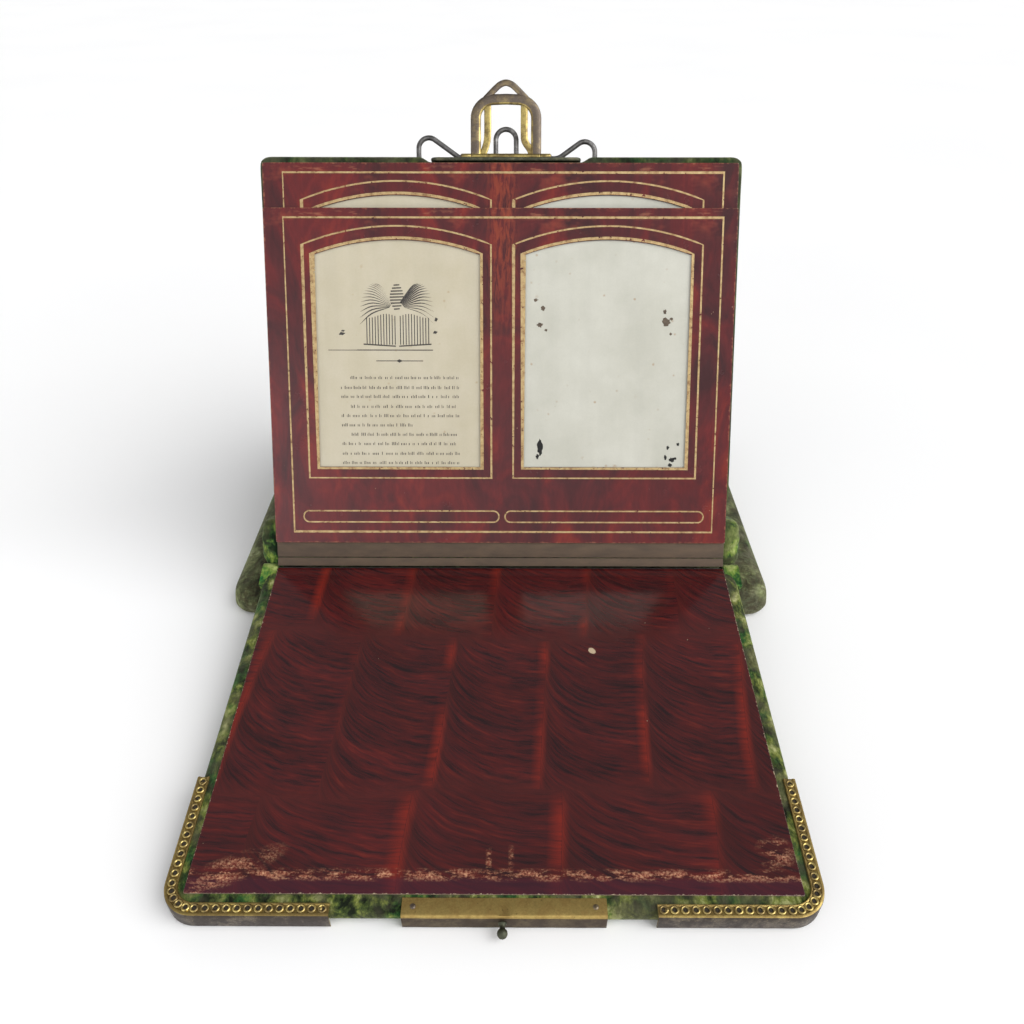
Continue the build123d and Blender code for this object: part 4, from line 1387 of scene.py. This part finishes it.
rivet_spots = [(x, NEAR + 4 * MM) for x in (low.x + 5 * MM, high.x - 5 * MM)]
heads("clasp_rivet_heads", "clasp_rivets", rivet_spots, 1.4 * MM, 0.7 * MM, BRASS_BROWN)


def lathe(name, profile, *materials, around=20):
    """Turned shape about z from (radius, height) points; radius 0 closes an end."""
    bm = bmesh.new()
    rings = []
    for r, z in profile:
        if r < 1e-7:
            rings.append([bm.verts.new((0, 0, z))])
        else:
            rings.append([bm.verts.new((r * c, r * s, z)) for c, s in turns(around)])
    for a, b in zip(rings, rings[1:]):
        for k in range(around):
            m = (k + 1) % around
            corners = [a[k % len(a)], a[m % len(a)], b[m % len(b)], b[k % len(b)]]
            face = []
            for corner in corners:
                if corner not in face:
                    face.append(corner)
            bm.faces.new(face)
    bmesh.ops.recalc_face_normals(bm, faces=bm.faces)
    return mesh_from(bm, name, *materials)


stud_low, stud_high = local_box("clasp_stud", panel)
ball_r = (stud_high.x - stud_low.x) / 2
reach = stud_high.y - stud_low.y
neck = reach - 2 * ball_r + 0.2 * MM
stud_profile = [(0, 0), (1.9 * MM, 0), (2.0 * MM, 0.3 * MM), (1.4 * MM, 0.7 * MM), (1.2 * MM, neck)]
for i in range(9):
    a = math.radians(-55 + 145 * i / 8)
    stud_profile.append((max(0.0, ball_r * math.cos(a)), reach - ball_r + ball_r * math.sin(a)))
stud_profile[-1] = (0, reach)
turned = lathe("stud", stud_profile)
root = ((stud_low.x + stud_high.x) / 2, stud_high.y, (stud_low.z + stud_high.z) / 2)
turned.transform(Matrix.Translation(root) @ Matrix.Rotation(math.radians(90), 4, "X"))
stud = smooth(make("clasp_ball_stud", turned, panel, BRASS_GREEN), 50)
fit(stud, "front_cover", "brass", "clasp_stud")

# --- hasp

# Where the hinge pin lies on the page: to the right, up it and behind it.
HASP_X = 3.0 * MM
PIN_S = 236.4 * MM
PIN_D = 31.0 * MM
hasp_plane = page @ Matrix.Translation((HASP_X, PIN_S, -PIN_D))


OVAL_STEPS = 12


def squared(part):
    """Push a cosine or sine outwards, so that a circle becomes squarer."""
    return math.copysign(abs(part) ** 0.7, part)


def oval_section(wide, thick):
    """Flattened round section, wide across the path."""
    return [(wide / 2 * squared(c), thick / 2 * squared(s)) for c, s in turns(OVAL_STEPS)]


def hasp_band():
    """Centre line of the outer band, from the left foot over to the right."""
    w, top, r = 18.5 * MM, 33.7 * MM, 11.5 * MM
    path = [(-w, 0.2 * MM), (-w, 8 * MM), (-w, top - r)]
    for i in range(1, 13):
        a = math.radians(180 - 90 * i / 12)
        path.append((-w + r + r * math.cos(a), top - r + r * math.sin(a) * 0.94))
    right = [(-x, y) for x, y in reversed(path)]
    return path + [(0, top - r + r * 0.96)] + right


band_path = hasp_band()
band = sweep_profile("band", band_path, oval_section(6.3 * MM, 2.3 * MM), BRASS_BROWN, BRASS)
# The band's inner edge takes the brighter brass: a painted highlight.
second_material(band, band_path, OVAL_STEPS, (10, 11, 0, 1))


def finger_loop():
    """Centre line of the loop over the band's head."""
    points = [(-12.5, 33.4), (-8.6, 37.2), (-4.6, 40.9), (-2.0, 42.3), (0, 42.7)]
    points += [(-x, y) for x, y in reversed(points[:-1])]
    return [(p.x, p.y) for p in soft_curve([(x * MM, y * MM) for x, y in points], 5)]


loop = sweep_profile("loop", finger_loop(), oval_section(3.8 * MM, 1.8 * MM), BRASS_BROWN)
bars = []
for side in (-1, 1):
    foot = 16.4 if side > 0 else 14.6
    points = [(11.2, 32.5), (11.2, 24.0), (11.2, 14.5), (11.6, 9.0), (foot - 1.6, 4.2), (foot, 0.6)]
    path = [(side * p.x, p.y) for p in soft_curve([(x * MM, y * MM) for x, y in points], 5)]
    bars.append(sweep_profile("bar", path, oval_section(4.3 * MM, 1.1 * MM), BRASS))
ACROSS = Matrix.Rotation(math.radians(90), 4, "Y")
sleeve_profile = [(0.95 * MM, -20.8 * MM), (1.6 * MM, -21.0 * MM), (1.75 * MM, -20.7 * MM)]
sleeve_profile += [(1.75 * MM - 0.05 * MM * (i % 2), (-20 + i * 2) * MM) for i in range(21)]
sleeve_profile += [(1.75 * MM, 20.7 * MM), (1.6 * MM, 21.0 * MM), (0.95 * MM, 20.8 * MM)]
sleeve = lathe("sleeve", sleeve_profile, BRASS)
sleeve.transform(ACROSS)
parts = joined("hasp", [band, loop, *bars, sleeve])
point_outwards(parts)
hasp = smooth(make("hasp_loop_frame", parts, hasp_plane), 50)
fit(hasp, "hasp", "brass", "hasp_frame")
pin_low, pin_high = local_box("hasp_pin", hasp_plane)
pin_r = (pin_high.y - pin_low.y) / 2
pin_half = (pin_high.x - pin_low.x) / 2
pin_end = [(0, 0), (0.8, 0.1), (1.35, 0.4), (1.35, 0.9), (1, 1.1)]
pin_profile = [(pin_r * wide, -pin_half + into * MM) for wide, into in pin_end]
pin_profile += [(r, -z) for r, z in pin_profile[::-1]]
pin_mesh = lathe("pin", pin_profile)
pin_mesh.transform(ACROSS)
pin = smooth(make("hasp_hinge_pin", pin_mesh, hasp_plane, BRASS_BROWN), 50)
fit(pin, "hasp", "brass", "hasp_pin")

dress("strut_staples", BRASS_BROWN)
dress("hasp_rivets", BRASS)

# Plate over the back cover's edge: a rounded saddle, a rear return and two knuckles.
low, high = local_box("hasp_plate", page)
saddle = flat_plate(
    "saddle", [rounded_loop(low.x, high.x, low.z, -25.2 * MM, (3.5 * MM,) * 4, 6)], -234.9 * MM, -232.6 * MM,
    0.9 * MM,
)
saddle.transform(Matrix(((1, 0, 0, 0), (0, 0, -1, 0), (0, 1, 0, 0), (0, 0, 0, 1))))
saddle.materials.append(BRASS_GREEN)
rear = flat_plate(
    "rear", [rounded_loop(low.x, high.x, low.y, 234.6 * MM, (2.5 * MM, 2.5 * MM, 0, 0), 4)], low.z - 0.3 * MM,
    low.z + 0.4 * MM, 0.25 * MM,
)
rear.materials.append(BRASS_GREEN)
knuckles = []
barrel_half = [(0.95 * MM, -3 * MM), (1.5 * MM, -3 * MM), (1.7 * MM, -2.7 * MM)]
for side in (-1, 1):
    barrel = lathe("barrel", barrel_half + [(r, -z) for r, z in barrel_half[::-1]], BRASS)
    x = HASP_X + side * 24.4 * MM
    barrel.transform(Matrix.Translation((x, PIN_S, -PIN_D)) @ ACROSS)
    web = flat_plate(
        "web", [rectangle(x - 2.9 * MM, x + 2.9 * MM, 234.2 * MM, PIN_S)], -PIN_D - 1.6 * MM, -PIN_D + 1.6 * MM,
        0.3 * MM,
    )
    web.materials.append(BRASS_GREEN)
    knuckles += [barrel, web]
saddle_piece = smooth(make("hasp_saddle", joined("saddle", [saddle, rear, *knuckles]), page), 40)
fit(saddle_piece, "album_back", "brass", "hasp_plate")

# --- strut: one bent wire

STRUT_S = 236.0 * MM
STRUT_D = 34.9 * MM
WIRE_R = 1.3 * MM
WIRE_GROWTH = 1.18
LEG = 232.8 * MM
OPEN = math.radians(40)
ELBOW = 2.5 * MM
strut_plane = page @ Matrix.Translation((0, STRUT_S, -STRUT_D))


def arc(cx, cy, r, start, end, side, steps):
    """Arc that starts to the left of its centre, or to the right for side -1."""
    points = []
    for i in range(steps + 1):
        a = math.radians(start + (end - start) * i / steps)
        points.append((cx - side * r * math.cos(a), cy + r * math.sin(a), 0))
    return points


def ear(leg_x, side, top):
    """From the leg over the ear and down to the level wire."""
    r, foot_r, slope = 6.3 * MM, 8.0 * MM, math.radians(35)
    over = arc(leg_x + side * r, top - r, r, 0, 125, side, 16)
    crest_x, crest_y = over[-1][0], over[-1][1]
    low_x = crest_x + side * (crest_y - foot_r * (1 - math.cos(slope))) / math.tan(slope)
    level_x = low_x + side * foot_r * math.sin(slope)
    under = arc(level_x, foot_r, foot_r, -55, -90, side, 6)
    return over + under


def leg(x, inward):
    """From the foot's corner, round its elbow and up to the cover's edge."""
    fall, out = -LEG * math.cos(OPEN), -LEG * math.sin(OPEN)
    up, back = ELBOW * math.cos(OPEN), ELBOW * math.sin(OPEN)
    path = [
        (x + inward * ELBOW, fall, out), (x + inward * ELBOW * 0.3, fall + up * 0.3, out + back * 0.3),
        (x, fall + up, out + back),
    ]
    path += [(x, fall * (1 - i / 12), out * (1 - i / 12)) for i in range(1, 12)]
    return path + [(x, -1.2 * MM, -1.0 * MM), (x, 0.6 * MM, -0.15 * MM)]


def wire_path():
    """Up the left leg, over the ears and the centre arch, and down the right leg."""
    left, right = -51.0 * MM, 58.0 * MM
    arch_half, arch_up, foot_r = 6.3 * MM, 17.2 * MM, 2.4 * MM
    path = leg(left, 1) + ear(left, 1, 12.2 * MM)
    path += arc(HASP_X - arch_half - foot_r, foot_r, foot_r, -90, -180, 1, 6)
    path += arc(HASP_X, arch_up - arch_half, arch_half, 0, 180, 1, 18)
    path += arc(HASP_X + arch_half + foot_r, foot_r, foot_r, -180, -90, -1, 6)
    return path + ear(right, -1, 10.0 * MM)[::-1] + leg(right, -1)[::-1]


wire = tube("wire", wire_path(), WIRE_R * WIRE_GROWTH)
wire.transform(strut_plane)
strut = smooth(make("strut_wire", wire, WORLD, STEEL), 60)
fit(strut, "strut", "steel_wire", "strut_top_wire", "strut_leg_left", "strut_leg_right", "strut_foot")

# ---------------------------------------------------------------- stage and camera

FLOOR_REACH = 9.0
FLOOR_DROP = 0.4 * MM
floor_mesh = mesh_of("floor", [(x, y, 0) for x, y in rectangle(*(-FLOOR_REACH, FLOOR_REACH) * 2)], [(0, 1, 2, 3)])
floor_paper = Shader("floor_paper", rough=0.85)
tone = floor_paper.noise(floor_paper.coords(), 3, 2, 0.5)
floor_tones = [(0.3, (0.935, 0.935, 0.94)), (0.7, (0.955, 0.955, 0.955))]
floor_paper.set("Base Color", floor_paper.ramp(tone, floor_tones))
make("floor", floor_mesh, Matrix.Translation((0, 0, -FLOOR_DROP)), floor_paper.mat)


def lamp(name, kind, strength, toward, **props):
    """A light that shines from the given direction."""
    light = bpy.data.lights.new(name, kind)
    light.energy = strength
    for key, value in props.items():
        setattr(light, key, value)
    made = stand(name, light)
    made.rotation_euler = Vector(toward).to_track_quat("Z", "Y").to_euler()
    return made


lamp("key", "SUN", 2.8, (1.0, -0.52, 0.84), angle=math.radians(58))
lamp("fill", "SUN", 0.35, (-0.3, -1.0, 0.9), angle=math.radians(60))
LEFT_FRONT = Vector((-1.0, -1.3, 0.5))
AIM = Vector((0, 0, 0.1))
soft_box = lamp(
    "left_front", "AREA", 3.0, LEFT_FRONT - AIM, shape="RECTANGLE", size=1.2, size_y=0.8, color=(0.97, 0.96, 1.0)
)
soft_box.location = LEFT_FRONT

# Sky: white down to the horizon, greyer overhead.
world = bpy.data.worlds.new("studio")
bpy.context.scene.world = world
world.use_nodes = True
tree = world.node_tree
sky = tree.nodes["Background"]
direction = tree.nodes.new("ShaderNodeTexCoord")
height = tree.nodes.new("ShaderNodeSeparateXYZ")
walls = tree.nodes.new("ShaderNodeValToRGB")
tree.links.new(direction.outputs["Generated"], height.inputs[0])
tree.links.new(height.outputs["Z"], walls.inputs[0])
tree.links.new(walls.outputs[0], sky.inputs[0])
for element, place, grey in zip(walls.color_ramp.elements, (0.38, 0.72), (1.0, 0.30)):
    element.position = place
    element.color = (grey, grey, grey, 1)
sky.inputs["Strength"].default_value = 0.9

SENSOR = 36
FRAME_PX = 1024
FOCAL_PX = 880.33  # fitted to the album's straight edges
LOOK_DOWN = 34.95
HEADING = 0.25
lens = bpy.data.cameras.new("camera")
lens.sensor_width = SENSOR
lens.lens = SENSOR * FOCAL_PX / FRAME_PX
lens.clip_start = 0.01
camera = stand("camera", lens)
camera.location = (0.00921, -0.54372, 0.37904)
camera.rotation_euler = (math.radians(90 - LOOK_DOWN), 0, math.radians(HEADING))
bpy.context.scene.camera = camera

bpy.context.scene.view_settings.view_transform = "Standard"
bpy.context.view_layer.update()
